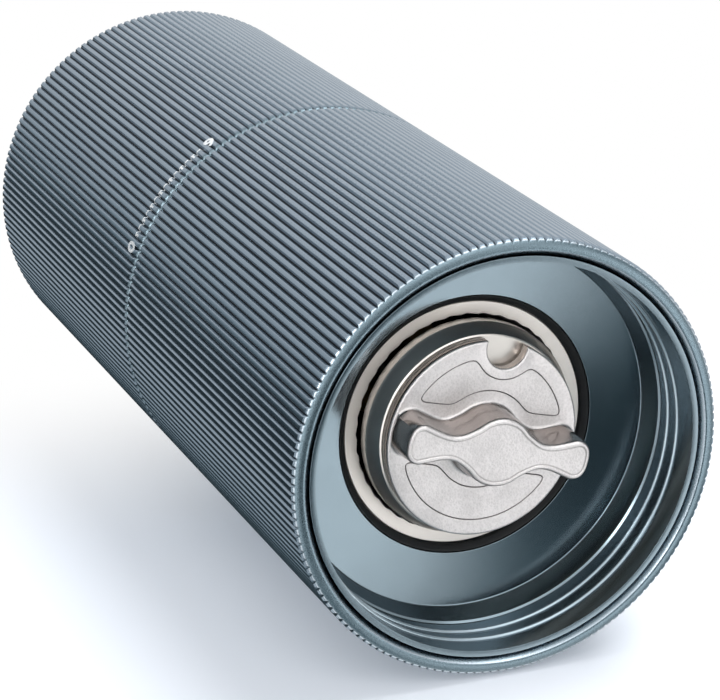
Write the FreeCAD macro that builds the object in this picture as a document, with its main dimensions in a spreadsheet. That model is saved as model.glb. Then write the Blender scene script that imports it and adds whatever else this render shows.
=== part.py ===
"""Hand crank coffee grinder, standing on its open lower rim with the cup taken off.

Millimetres, +Z up along the shaft, origin at the centre of the rim. The crank points to +Y.
"""
import FreeCAD, Part
import math
import os
import re

import Sketcher
from FreeCAD import Placement, Rotation, Vector

# Driving dimensions: name, value, meaning
SIZES = [
    ("crest_radius", 27.0, "outside radius over the rib crests"),
    ("body_height", 124.0, "rim to the top of the upper sleeve"),
    ("seam_height", 62.6, "foot of the upper sleeve"),
    ("seam_gap", 0.3, "gap between the two sleeves"),
    ("seam_bevel", 0.45, "bevel of the sleeve ends"),
    ("rim_round", 1.0, "rounding of the open rim"),
    ("rim_break", 0.3, "where the rounding's two bevels meet"),
    ("rib_count", 160, "ribs round each sleeve"),
    ("rib_depth", 0.42, "depth of the grooves between ribs"),
    ("groove_mouth", 0.5, "groove width at the crests"),
    ("groove_floor", 0.22, "groove width at its floor"),
    ("sleeve_wall", 2.05, "rib crests to the lower sleeve's bore"),
    ("sleeve_clearance", 0.2, "gap between lower sleeve and barrel"),
    ("fit_clearance", 0.05, "radial clearance of a located fit"),
    ("run_gap", 0.3, "gap between surfaces that turn past each other"),
    ("lip_height", 7.0, "inner lip at the top of the lower sleeve"),
    ("barrel_recess", 0.4, "barrel end face behind the rim"),
    ("skirt_wall", 0.75, "barrel wall at the cup thread's roots"),
    ("skirt_depth", 8.8, "depth of the cup thread"),
    ("band_step", 1.0, "plain band inside the cup thread's roots"),
    ("band_height", 2.7, "height of the plain band"),
    ("floor_dish", 0.7, "rise of the floor towards the burr"),
    ("ring_radius", 16.3, "outside of the burr retaining ring"),
    ("ring_height", 1.6, "height of the burr retaining ring"),
    ("ring_bevel", 0.9, "bevel inside the retaining ring"),
    ("burr_radius", 15.9, "outside of the ring burr"),
    ("burr_height", 12.8, "ring burr above its shoulder"),
    ("burr_spigot", 0.6, "ring burr lip below its shoulder"),
    ("exit_radius", 13.55, "tooth tips of the ring burr at its exit"),
    ("entry_radius", 11.9, "tooth tips of the ring burr at its entry"),
    ("ring_teeth", 40, "teeth of the ring burr"),
    ("tooth_depth", 0.5, "depth of the fine teeth"),
    ("tooth_lean", 0.35, "root behind its tip, as a share of a tooth"),
    ("ring_twist", 18.0, "twist of the ring burr's teeth in degrees"),
    ("fine_twist", 18.0, "twist of the fine teeth in degrees"),
    ("cone_base", 13.05, "fine teeth of the inner burr at its base"),
    ("cone_top", 5.4, "top radius of the inner burr"),
    ("cone_rise", 1.0, "inner burr top above the ring burr"),
    ("fine_teeth", 36, "fine teeth of the inner burr"),
    ("fine_height", 5.0, "height of the fine teeth"),
    ("blade_count", 6, "breaking blades of the inner burr"),
    ("blade_depth", 2.2, "depth between the breaking blades"),
    ("blade_twist", 55.0, "twist of the breaking blades in degrees"),
    ("blade_lean", 0.3, "hollow behind its blade, as a share of a blade"),
    ("blade_least", 0.4, "hollow at both ends of a blade, as a share of its depth"),
    ("blade_swell", 0.3, "share that the hollow gains at mid height"),
    ("collar_radius", 13.35, "polished rim under the inner burr"),
    ("collar_drop", 1.8, "polished rim below the ring burr"),
    ("bevel_drop", 2.2, "height of the polished bevel"),
    ("bevel_radius", 12.6, "foot of the polished bevel"),
    ("throat_radius", 12.6, "throat above the ring burr"),
    ("throat_height", 2.5, "height of the throat"),
    ("ledge_width", 2.0, "ledge under the bridge, inside the hopper's bore"),
    ("funnel_height", 12.5, "height of the bean funnel"),
    ("shaft_radius", 4.0, "drive shaft"),
    ("stud_radius", 2.6, "lower stud of the shaft"),
    ("pin_radius", 1.2, "drive pin across the shaft"),
    ("pin_length", 9.0, "drive pin"),
    ("disc_radius", 12.2, "wing knob disc"),
    ("disc_height", 1.7, "thickness of the wing knob disc"),
    ("disc_gap", 0.1, "gap between disc and inner burr"),
    ("wing_height", 5.0, "height of the wing"),
    ("wing_angle", 60.0, "direction of the wing in degrees"),
    ("wing_draft", 5.0, "draft of the wing's sides in degrees"),
    ("lobe_radius", 4.5, "round lobe in the middle of the wing"),
    ("lobe_reach", 3.4, "where the lobe meets the waist"),
    ("waist_reach", 6.0, "narrowest place of the wing"),
    ("waist_half", 1.75, "half the width at the waist"),
    ("end_reach", 10.9, "where the wing's end is widest"),
    ("end_half", 2.7, "half the width of the wing's end"),
    ("tip_half", 1.9, "half the width where the end meets the disc's edge"),
    ("stud_roof", 1.8, "metal left under the stud's hole"),
    ("notch_radius", 2.6, "round notch in the disc"),
    ("notch_reach", 11.4, "centre of the notch"),
    ("notch_angle", -28.0, "direction of the notch in degrees"),
    ("spigot_wall", 3.0, "barrel spigot to the hopper tube"),
    ("tube_wall", 1.2, "wall of the hopper tube"),
    ("bridge_height", 4.0, "thickness of the burr bridge"),
    ("bridge_hub", 7.6, "hub of the burr bridge"),
    ("bridge_hub_height", 8.0, "height of the bridge hub"),
    ("arm_count", 3, "arms of bridge and carriage"),
    ("bridge_arm", 5.0, "width of a bridge arm"),
    ("bush_wall", 2.0, "wall of the bush"),
    ("bush_flange", 1.0, "flange of the bush"),
    ("spigot_step", 0.75, "barrel spigot inside the barrel's outside"),
    ("spigot_height", 7.4, "spigot above the seam"),
    ("seal_radius", 0.8, "section of the dial seal"),
    ("seal_rise", 4.0, "dial seal above the seam"),
    ("detent_height", 1.6, "thickness of the detent ring"),
    ("detent_count", 30, "clicks per turn"),
    ("detent_notch", 0.8, "half the width of a detent notch, over its depth again"),
    ("detent_depth", 0.4, "depth of a detent notch"),
    ("ball_radius", 0.8, "click ball"),
    ("plunger_radius", 1.25, "click plunger"),
    ("plunger_length", 8.0, "click plunger"),
    ("plunger_offset", 1.9, "click plunger outside the hopper tube"),
    ("plunger_gap", 1.6, "room for the click balls"),
    ("thread_cover", 3.6, "rib crests to the drive thread"),
    ("thread_room", 2.0, "thread zone above and below the arms"),
    ("carriage_depth", 21.0, "carriage arms below the top"),
    ("carriage_arm", 6.0, "width of a carriage arm"),
    ("carriage_height", 4.0, "height of a carriage arm"),
    ("carriage_hub", 9.8, "hub of the carriage"),
    ("carriage_hub_height", 9.0, "height of the carriage hub"),
    ("seat_height", 1.5, "shoulder under the bearing"),
    ("washer_height", 0.5, "wave washer"),
    ("bearing_radius", 8.0, "outside of the ball bearing"),
    ("bearing_height", 5.0, "ball bearing"),
    ("race_wall", 1.4, "wall of a bearing ring"),
    ("shield_height", 0.5, "bearing shield"),
    ("clip_height", 0.8, "retaining clip"),
    ("clip_grip", 0.5, "clip depth in its groove"),
    ("collar_depth", 3.0, "top collar in the upper sleeve"),
    ("collar_cover", 2.4, "rib crests to the top collar"),
    ("hex_width", 6.8, "shaft end across flats"),
    ("hex_rise", 4.0, "hexagonal end above the body"),
    ("hex_length", 12.0, "hexagonal end of the shaft"),
    ("lid_gap", 0.75, "lid above the body"),
    ("lid_step", 4.6, "rib crests to the lid's edge"),
    ("lid_edge", 1.6, "edge of the lid"),
    ("plug_gap", 0.5, "lid plug inside the hopper's bore"),
    ("lid_plug_depth", 5.0, "plug of the lid"),
    ("lid_wall", 1.8, "wall of the lid plug"),
    ("lid_seal_radius", 0.7, "section of the lid seal"),
    ("hub_radius", 9.0, "hub on the lid"),
    ("hub_height", 10.0, "hub above the body"),
    ("dome_round", 17.0, "hollow of the lid's shoulder"),
    ("socket_radius", 6.0, "hexagonal socket, outside"),
    ("socket_clearance", 0.08, "play of the shaft in the socket"),
    ("arm_length", 110.0, "shaft to knob"),
    ("arm_height", 5.0, "thickness of the crank arm"),
    ("arm_root", 8.6, "half the width of the arm at the hub"),
    ("arm_tip", 6.6, "half the width of the arm at the knob"),
    ("screw_radius", 2.5, "hub screw shank"),
    ("screw_head", 5.2, "hub screw head"),
    ("screw_dome", 2.8, "hub screw head height"),
    ("spindle_radius", 3.0, "knob spindle"),
    ("spindle_collar", 5.0, "spindle collar on the arm"),
    ("spindle_step", 1.0, "height of the spindle collar"),
    ("spindle_head", 4.6, "spindle head in the knob"),
    ("spindle_head_height", 2.2, "spindle head in the knob"),
    ("nut_width", 9.0, "spindle nut across flats"),
    ("nut_height", 3.4, "spindle nut"),
    ("knob_height", 36.0, "crank knob"),
    ("knob_foot", 8.6, "knob radius at its foot"),
    ("knob_belly", 14.4, "knob radius at its belly"),
    ("knob_belly_rise", 21.0, "belly above the knob's foot"),
    ("knob_crown", 9.0, "knob radius at its crown"),
    ("knob_flank", 26.0, "radius of the knob's flank"),
    ("knob_shoulder", 15.5, "radius of the knob's shoulder"),
    ("knob_bush_wall", 1.4, "wall of a knob bush"),
    ("knob_bush_length", 7.0, "knob bush"),
    ("knob_bush_flange", 0.8, "flange of a knob bush"),
    ("knob_cap_radius", 6.2, "plug in the knob's crown"),
    ("knob_cap_height", 2.0, "plug in the knob's crown"),
]
NAMES = {name for name, _, _ in SIZES}

# Places along the shaft, from the rim up
FLOOR_EDGE = "(barrel_recess + skirt_depth + band_height)"
FLOOR = f"({FLOOR_EDGE} + floor_dish)"
BURR_FOOT = f"({FLOOR} + ring_height)"
BURR_EXIT = f"({BURR_FOOT} - burr_spigot)"
BURR_TOP = f"({BURR_FOOT} + burr_height)"
CONE_TOP = f"({BURR_TOP} + cone_rise)"
COLLAR_FOOT = f"({BURR_EXIT} - collar_drop)"
CONE_FOOT = f"({BURR_EXIT} - fit_clearance)"
BURR_BASE = f"({COLLAR_FOOT} - bevel_drop)"
DISC_TOP = f"({BURR_BASE} - disc_gap)"
DISC_FACE = f"({DISC_TOP} - disc_height)"
WING_FACE = f"({DISC_FACE} - wing_height)"
FUNNEL_FOOT = f"({BURR_TOP} + throat_height)"
LEDGE = f"({FUNNEL_FOOT} + funnel_height)"
TUBE_FOOT = f"({LEDGE} + bridge_height)"
SLEEVE_TOP = "(seam_height - seam_gap)"
SHOULDER = f"({SLEEVE_TOP} - lip_height)"
SPIGOT_TOP = "(seam_height + spigot_height)"
DETENT_TOP = f"({SPIGOT_TOP} + detent_height)"
FLANGE = f"({DETENT_TOP} + plunger_gap)"
ARM_FOOT = "(body_height - carriage_depth)"
ARM_TOP = f"({ARM_FOOT} + carriage_height)"
WASHER_FOOT = f"({ARM_FOOT} + seat_height)"
BEARING_FOOT = f"({WASHER_FOOT} + washer_height)"
BEARING_TOP = f"({BEARING_FOOT} + bearing_height)"
COLLAR_SEAT = "(body_height - collar_depth)"
TUBE_TOP = f"({COLLAR_SEAT} - run_gap)"
HEX_TOP = "(body_height + hex_rise)"
HEX_FOOT = f"({HEX_TOP} - hex_length)"
LID_FOOT = "(body_height + lid_gap)"
PLUG_FOOT = f"({LID_FOOT} - lid_plug_depth)"
SOCKET_TOP = f"({HEX_TOP} + lid_gap)"
HUB_TOP = "(body_height + hub_height)"
CRANK_TOP = f"({HUB_TOP} + arm_height)"
KNOB_BUSH_FOOT = f"({CRANK_TOP} + spindle_step + run_gap)"
KNOB_FOOT = f"({KNOB_BUSH_FOOT} + knob_bush_flange)"
KNOB_TOP = f"({KNOB_FOOT} + knob_height)"
CAP_FOOT = f"({KNOB_TOP} - knob_cap_height)"
HEAD_TOP = f"({CAP_FOOT} - run_gap)"
HEAD_FOOT = f"({HEAD_TOP} - spindle_head_height)"
CAP_SEAT = f"({HEAD_FOOT} - run_gap - knob_bush_flange)"

# Radii shared by pieces that fit each other
SLEEVE_BORE = "(crest_radius - sleeve_wall)"
BARREL = f"({SLEEVE_BORE} - sleeve_clearance)"
SKIRT_BORE = f"({BARREL} - skirt_wall)"
BAND = f"({SKIRT_BORE} - band_step)"
SPIGOT = f"({BARREL} - spigot_step)"
TUBE = f"({SPIGOT} - spigot_wall)"
TUBE_SEAT = f"({TUBE} + fit_clearance)"
TUBE_BORE = f"({TUBE} - tube_wall)"
FUNNEL = f"({TUBE_BORE} - ledge_width)"
DIAL_BORE = f"({TUBE} + run_gap)"
DIAL_SKIRT = f"({SPIGOT} + run_gap)"
PLUNGER = f"({TUBE} + plunger_offset)"
THREAD = "(crest_radius - thread_cover)"
COLLAR = "(crest_radius - collar_cover)"
LID = "(crest_radius - lid_step)"
LID_PLUG = f"({TUBE_BORE} - plug_gap)"
RING_INSIDE = "(ring_radius - ring_bevel)"
RING_SEAT = "(ring_radius + fit_clearance)"
BURR_SEAT = "(burr_radius + fit_clearance)"
SHAFT_BORE = "(shaft_radius + fit_clearance)"
BUSH = f"({SHAFT_BORE} + bush_wall)"
SPINDLE_BORE = "(spindle_radius + fit_clearance)"
KNOB_BORE = f"({SPINDLE_BORE} + knob_bush_wall)"
SEAL_FLOOR = f"({DIAL_SKIRT} - fit_clearance - 2 * seal_radius)"
LID_SEAL_FLOOR = f"({TUBE_BORE} - fit_clearance - 2 * lid_seal_radius)"

# Levels between which the breaking blades are ruled
BLADE_STEPS = 5

doc = FreeCAD.newDocument("coffee_grinder")
dims = doc.addObject("Spreadsheet::Sheet", "dims")
for row, (name, number, meaning) in enumerate(SIZES, start=1):
    dims.set(f"A{row}", name)
    dims.set(f"B{row}", str(number))
    dims.set(f"C{row}", meaning)
    dims.setAlias(f"B{row}", name)
doc.recompute()

SUBPARTS = []


def bound(text):
    """An expression on the sheet: every size's name gets the sheet's name before it."""
    return re.sub(r"[a-z][a-z_]*", lambda word: "dims." + word[0] if word[0] in NAMES else word[0], text)


def size(text):
    """The number that an expression on the sheet has now."""
    return float(dims.evalExpression(bound(text)))


def new_body(label):
    body = doc.addObject("PartDesign::Body", label)
    body.Label = label
    SUBPARTS.append(body)
    return body


def new_sketch(body, name, role="XY_Plane", height="0", turn="0"):
    """A sketch on one of the body's own planes, raised and turned by expressions."""
    plane = [feature for feature in body.Origin.OriginFeatures if feature.Role == role][0]
    sketch = body.newObject("Sketcher::SketchObject", name)
    sketch.AttachmentSupport = [(plane, "")]
    sketch.MapMode = "FlatFace"
    if role == "XY_Plane":
        lift = Vector(0, 0, size(height))
        sketch.AttachmentOffset = Placement(lift, Rotation(Vector(0, 0, 1), size(turn)))
        sketch.setExpression("AttachmentOffset.Base.z", bound(height))
        sketch.setExpression("AttachmentOffset.Rotation.Angle", bound(turn))
    return sketch


def arc_through(start, end, radius, side):
    """The short arc between start and end, anticlockwise; side +1 puts its centre on the left of
    the way from start to end, and -1 on the right."""
    chord = end - start
    rise = math.sqrt(max(radius ** 2 - chord.Length ** 2 / 4, 0.0))
    left = Vector(-chord.y, chord.x, 0).normalize()
    middle = (start + end) * 0.5 + left * (side * (rise - radius))
    return Part.Arc(start, middle, end) if side > 0 else Part.Arc(end, middle, start)


def outline(sketch, points):
    """A closed outline whose corners are expression pairs; a third and fourth entry
    (radius, side) make the stretch to the next corner an arc."""
    corners = [Vector(size(point[0]), size(point[1]), 0) for point in points]
    count = len(points)
    first = sketch.GeometryCount
    for index, point in enumerate(points):
        start, end = corners[index], corners[(index + 1) % count]
        if len(point) == 2:
            sketch.addGeometry(Part.LineSegment(start, end))
        else:
            sketch.addGeometry(arc_through(start, end, size(point[2]), point[3]))
    starts = [(2, 1) if len(point) > 2 and point[3] < 0 else (1, 2) for point in points]
    for index, point in enumerate(points):
        edge = first + index
        following = (index + 1) % count
        sketch.addConstraint(Sketcher.Constraint(
            "Coincident", edge, starts[index][1], first + following, starts[following][0]))
        for axis, kind, grid in ((0, "DistanceX", -2), (1, "DistanceY", -1)):
            if point[axis] == "0":
                sketch.addConstraint(Sketcher.Constraint("PointOnObject", edge, starts[index][0], grid))
                continue
            pin = sketch.addConstraint(Sketcher.Constraint(
                kind, -1, 1, edge, starts[index][0], size(point[axis])))
            sketch.setExpression(f"Constraints[{pin}]", bound(point[axis]))
        if len(point) > 2:
            pin = sketch.addConstraint(Sketcher.Constraint("Radius", edge, size(point[2])))
            sketch.setExpression(f"Constraints[{pin}]", bound(point[2]))


def circle(sketch, x, y, radius):
    """A circle placed and sized by expressions."""
    ring = sketch.addGeometry(Part.Circle(Vector(size(x), size(y), 0), Vector(0, 0, 1), size(radius)))
    for text, kind, grid in ((x, "DistanceX", -2), (y, "DistanceY", -1)):
        if text == "0":
            sketch.addConstraint(Sketcher.Constraint("PointOnObject", ring, 3, grid))
            continue
        pin = sketch.addConstraint(Sketcher.Constraint(kind, -1, 1, ring, 3, size(text)))
        sketch.setExpression(f"Constraints[{pin}]", bound(text))
    pin = sketch.addConstraint(Sketcher.Constraint("Radius", ring, size(radius)))
    sketch.setExpression(f"Constraints[{pin}]", bound(radius))


def hexagon(sketch, x, y, width):
    """A hexagon across flats, with two corners on its own X axis."""
    corner = f"({width}) / sqrt(3)"
    signs = [(2, 0), (1, 1), (-1, 1), (-2, 0), (-1, -1), (1, -1)]
    points = []
    for along, up in signs:
        across = f"{x} + {along} * {corner} / 2"
        rise = f"{y} + {up} * ({width}) / 2" if up or y != "0" else "0"
        points.append((across, rise))
    outline(sketch, points)


def turn_profile(body, points, x="0", y="0"):
    """Turn a closed (radius, height) outline about an upright axis through (x, y)."""
    sketch = new_sketch(body, body.Label + "_profile", "XZ_Plane")
    outline(sketch, points)
    turned = body.newObject("PartDesign::Revolution", body.Label + "_turned")
    turned.Profile = sketch
    turned.ReferenceAxis = (sketch, ["V_Axis"])
    turned.Angle = 360
    for axis, text in (("x", x), ("y", y)):
        if text != "0":
            body.setExpression(f"Placement.Base.{axis}", bound(text))
    return turned


def turned_body(label, points, x="0", y="0"):
    body = new_body(label)
    turn_profile(body, points, x, y)
    return body


def turned_pair(label, profiles, x="0", y="0"):
    """Two like pieces that share one node: a group of separate turned solids."""
    group = doc.addObject("Part::Compound", label)
    group.Label = label
    bodies = []
    for end, points in zip(("lower", "upper"), profiles):
        body = doc.addObject("PartDesign::Body", f"{label}_{end}")
        body.Label = f"{label}_{end}"
        turn_profile(body, points, x, y)
        bodies.append(body)
    group.Links = bodies
    SUBPARTS.append(group)


def pad(body, sketch, length, down=False):
    feature = body.newObject("PartDesign::Pad", sketch.Name + "_pad")
    feature.Profile = sketch
    feature.setExpression("Length", bound(length))
    feature.Reversed = down
    return feature


def pocket(body, sketch, length=None, upward=True):
    """Cut from the sketch upwards, or downwards, over a length or right through."""
    before = solid_volume(body)
    feature = body.newObject("PartDesign::Pocket", sketch.Name + "_cut")
    feature.Profile = sketch
    feature.Reversed = upward
    if length is None:
        feature.Type = "ThroughAll"
    else:
        feature.setExpression("Length", bound(length))
    if solid_volume(body) >= before:
        raise RuntimeError(sketch.Name + " cuts nothing")
    return feature


def solid_volume(body):
    doc.recompute()
    return body.Shape.Volume


def around(body, feature, sketch, count):
    """Repeat a feature round the sketch's upright axis."""
    pattern = body.newObject("PartDesign::PolarPattern", feature.Name + "_round")
    pattern.Originals = [feature]
    pattern.Axis = (sketch, ["N_Axis"])
    pattern.Angle = 360
    pattern.setExpression("Occurrences", bound(count))
    body.Tip = pattern
    return pattern


def flute(body):
    """Cut the fine grooves along a sleeve, which leave the ribs standing."""
    sketch = new_sketch(body, body.Label + "_groove")
    mouth = "(crest_radius + rib_depth)"
    reach = "(groove_mouth - groove_floor / 2)"
    outline(sketch, [
        ("crest_radius - rib_depth", "-groove_floor / 2"), (mouth, f"-{reach}"),
        (mouth, reach), ("crest_radius - rib_depth", "groove_floor / 2")])
    groove = pocket(body, sketch)
    around(body, groove, sketch, "rib_count")


def ring(inside, outside, foot, top):
    """The (radius, height) outline of a plain ring."""
    return [(inside, foot), (outside, foot), (outside, top), (inside, top)]


def o_ring(label, floor, section, height):
    """A round seal lying in its groove."""
    seal = doc.addObject("Part::Torus", label)
    seal.Label = label
    seal.setExpression("Radius1", bound(f"{floor} + {section}"))
    seal.setExpression("Radius2", bound(section))
    seal.setExpression("Placement.Base.z", bound(height))
    SUBPARTS.append(seal)


def lower_sleeve():
    body = turned_body("lower_sleeve", [
        (f"{SLEEVE_BORE} + seam_bevel", "0"),
        ("crest_radius - rim_round", "0"),
        ("crest_radius - rim_break", "rim_break"),
        ("crest_radius", "rim_round"),
        ("crest_radius", f"{SLEEVE_TOP} - seam_bevel"),
        ("crest_radius - seam_bevel", SLEEVE_TOP),
        (f"{SPIGOT} + fit_clearance", SLEEVE_TOP),
        (f"{SPIGOT} + fit_clearance", SHOULDER),
        (SLEEVE_BORE, SHOULDER),
        (SLEEVE_BORE, "seam_bevel")])
    flute(body)


def upper_sleeve():
    drive_foot = f"{ARM_FOOT} - thread_room"
    drive_top = f"{ARM_TOP} + thread_room"
    body = turned_body("upper_sleeve", [
        (DIAL_SKIRT, "seam_height"),
        ("crest_radius - seam_bevel", "seam_height"),
        ("crest_radius", "seam_height + seam_bevel"),
        ("crest_radius", "body_height - rim_round"),
        ("crest_radius - rim_break", "body_height - rim_break"),
        ("crest_radius - rim_round", "body_height"),
        (f"{COLLAR} + run_gap", "body_height"),
        (f"{COLLAR} + run_gap", COLLAR_SEAT),
        (DIAL_BORE, COLLAR_SEAT),
        (DIAL_BORE, drive_top),
        (f"{THREAD} + run_gap", drive_top),
        (f"{THREAD} + run_gap", drive_foot),
        (DIAL_BORE, drive_foot),
        (DIAL_BORE, FLANGE),
        (DIAL_SKIRT, FLANGE)])
    sketch = new_sketch(body, "plunger_hole", height=FLANGE)
    for sign in ("", "-"):
        circle(sketch, f"{sign}{PLUNGER}", "0", "plunger_radius + fit_clearance")
    pocket(body, sketch, "plunger_length")
    flute(body)


def burr_barrel():
    step = "(barrel_recess + skirt_depth)"
    seal_mid = "(seam_height + seal_rise)"
    turned_body("burr_barrel", [
        (SKIRT_BORE, "barrel_recess"),
        (BARREL, "barrel_recess"),
        (BARREL, SHOULDER),
        (SPIGOT, SHOULDER),
        (SPIGOT, f"{seal_mid} - seal_radius"),
        (SEAL_FLOOR, f"{seal_mid} - seal_radius"),
        (SEAL_FLOOR, f"{seal_mid} + seal_radius"),
        (SPIGOT, f"{seal_mid} + seal_radius"),
        (SPIGOT, SPIGOT_TOP),
        (TUBE_SEAT, SPIGOT_TOP),
        (TUBE_SEAT, LEDGE),
        (FUNNEL, LEDGE),
        ("throat_radius", FUNNEL_FOOT),
        ("throat_radius", BURR_TOP),
        (BURR_SEAT, BURR_TOP),
        (BURR_SEAT, BURR_FOOT),
        (RING_SEAT, BURR_FOOT),
        (RING_SEAT, FLOOR),
        (BAND, FLOOR_EDGE),
        (BAND, f"{step} + band_step"),
        (SKIRT_BORE, step)])
    o_ring("dial_seal", SEAL_FLOOR, "seal_radius", seal_mid)


def burr_retaining_ring():
    turned_body("burr_retaining_ring", [
        (RING_INSIDE, f"{FLOOR} + ring_bevel"), ("ring_radius", FLOOR),
        ("ring_radius", BURR_FOOT), (RING_INSIDE, BURR_FOOT)])


def toothed_wire(height, teeth, tip, root, lean, turn):
    """A closed saw-tooth outline at a height: tip and root radii, lean as a share of a tooth."""
    pitch = 2 * math.pi / teeth
    corners = []
    for tooth in range(teeth):
        angle = turn + tooth * pitch
        for radius, offset in ((tip, 0.0), (root, lean * pitch)):
            place = angle + offset
            corners.append(Vector(radius * math.cos(place), radius * math.sin(place), height))
    return Part.makePolygon(corners + corners[:1])


def toothed_solid(levels, teeth, lean, twist):
    """A ruled solid through saw-tooth outlines; levels are (height, tip, root), twist in radians."""
    low, high = levels[0][0], levels[-1][0]
    wires = []
    for height, tip, root in levels:
        turn = twist * (height - low) / (high - low)
        wires.append(toothed_wire(height, teeth, tip, root, lean, turn))
    return Part.makeLoft(wires, True, True)


def cut_piece(label, shape):
    feature = doc.addObject("Part::Feature", label)
    feature.Label = label
    feature.Shape = shape
    SUBPARTS.append(feature)


def revolved(points):
    """A solid of revolution from (radius, height) numbers."""
    corners = [Vector(radius, 0, height) for radius, height in points]
    face = Part.Face(Part.makePolygon(corners + corners[:1]))
    return face.revolve(Vector(0, 0, 0), Vector(0, 0, 1), 360)


def ring_burr():
    """Steel ring: a bored blank whose tapered bore is cut out by a toothed core."""
    exit_level, foot, top = size(BURR_EXIT), size(BURR_FOOT), size(BURR_TOP)
    outside, spigot = size("burr_radius"), size(f"{RING_INSIDE} - fit_clearance")
    exit_tip, entry_tip, depth = size("exit_radius"), size("entry_radius"), size("tooth_depth")
    middle = size("cone_top")
    blank = revolved([
        (middle, exit_level), (spigot, exit_level), (spigot, foot), (outside, foot),
        (outside, top), (middle, top)])
    teeth = int(size("ring_teeth"))
    slope = (entry_tip - exit_tip) / (top - exit_level)
    over = depth
    levels = []
    for height in (exit_level - over, top + over):
        tip = exit_tip + slope * (height - exit_level)
        levels.append((height, tip + depth, tip))
    core = toothed_solid(levels, teeth, size("tooth_lean"), -math.radians(size("ring_twist")))
    bevel = revolved([
        (0, exit_level - over), (exit_tip + depth + 2 * over, exit_level - over),
        (exit_tip + depth - over, exit_level + 2 * over), (0, exit_level + 2 * over)])
    cut_piece("ring_burr", blank.cut(core.fuse(bevel)))


def inner_burr():
    """Steel cone: fine teeth round its base, twisted breaking blades above, a polished rim below."""
    base, collar, foot = size(BURR_BASE), size(COLLAR_FOOT), size(CONE_FOOT)
    top, fine_top = size(CONE_TOP), size(f"{CONE_FOOT} + fine_height")
    cone_base, cone_top, depth = size("cone_base"), size("cone_top"), size("tooth_depth")
    slope = (cone_top - cone_base) / (top - foot)
    fine_radius = cone_base + slope * (fine_top - foot)
    foot_disc = revolved([
        (0, base), (size("bevel_radius"), base), (size("collar_radius"), collar),
        (size("collar_radius"), foot - depth / 2), (cone_base, foot), (0, foot)])
    fine = toothed_solid(
        [(foot, cone_base, cone_base - depth), (fine_top, fine_radius, fine_radius - depth)],
        int(size("fine_teeth")), size("tooth_lean"), math.radians(size("fine_twist")))
    blade, least, swell = size("blade_depth"), size("blade_least"), size("blade_swell")
    levels = []
    for step in range(BLADE_STEPS + 1):
        share = step / BLADE_STEPS
        height = fine_top + share * (top - fine_top)
        tip = fine_radius - depth + share * (cone_top - fine_radius + depth)
        levels.append((height, tip, tip - blade * (least + swell * math.sin(math.pi * share))))
    twist = math.radians(size("blade_twist"))
    blades = toothed_solid(levels, int(size("blade_count")), size("blade_lean"), twist)
    bore = Part.makeCylinder(size(SHAFT_BORE), top - base + 2 * depth, Vector(0, 0, base - depth))
    slot_half = size("pin_radius + fit_clearance")
    slot_foot = size(f"{CONE_TOP} - 2 * pin_radius - fit_clearance")
    corner = Vector(-2 * cone_top, -slot_half, slot_foot)
    slot = Part.makeBox(4 * cone_top, 2 * slot_half, top - slot_foot + depth, corner)
    cut_piece("inner_burr", foot_disc.fuse([fine, blades]).cut(bore).cut(slot).removeSplitter())


def drive_shaft():
    stud_foot = f"({WING_FACE} + stud_roof + fit_clearance)"
    lower_clip = f"({BEARING_FOOT} - clip_height)"
    upper_clip = f"({BEARING_TOP} + clip_height)"
    groove = "(shaft_radius - clip_grip)"
    body = turned_body("drive_shaft", [
        ("0", stud_foot), ("stud_radius", stud_foot), ("stud_radius", DISC_TOP),
        ("shaft_radius", BURR_BASE), ("shaft_radius", lower_clip), (groove, lower_clip),
        (groove, BEARING_FOOT), ("shaft_radius", BEARING_FOOT), ("shaft_radius", BEARING_TOP),
        (groove, BEARING_TOP), (groove, upper_clip), ("shaft_radius", upper_clip),
        ("shaft_radius", HEX_FOOT), ("0", HEX_FOOT)])
    sketch = new_sketch(body, "shaft_hexagon", height=HEX_FOOT)
    hexagon(sketch, "0", "0", "hex_width")
    pad(body, sketch, "hex_length")
    cross = new_sketch(body, "pin_hole", "YZ_Plane")
    circle(cross, "0", f"{CONE_TOP} - pin_radius", "pin_radius + fit_clearance / 2")
    hole = body.newObject("PartDesign::Pocket", "pin_hole_cut")
    hole.Profile = cross
    hole.Type = "ThroughAll"
    hole.Midplane = True
    pin = doc.addObject("Part::Cylinder", "drive_pin")
    pin.Label = "drive_pin"
    pin.setExpression("Radius", bound("pin_radius"))
    pin.setExpression("Height", bound("pin_length"))
    pin.Placement = Placement(Vector(0, 0, 0), Rotation(Vector(0, 1, 0), 90))
    pin.setExpression("Placement.Base.x", bound("-pin_length / 2"))
    pin.setExpression("Placement.Base.z", bound(f"{CONE_TOP} - pin_radius"))
    SUBPARTS.append(pin)


def shaft_clips():
    """Two retaining clips that hold the bearing's inner ring on the shaft."""
    inside, outside = "shaft_radius - clip_grip", "shaft_radius + clip_grip"
    turned_pair("shaft_clips", [
        ring(inside, outside, f"{BEARING_FOOT} - clip_height", BEARING_FOOT),
        ring(inside, outside, BEARING_TOP, f"{BEARING_TOP} + clip_height")])


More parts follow.
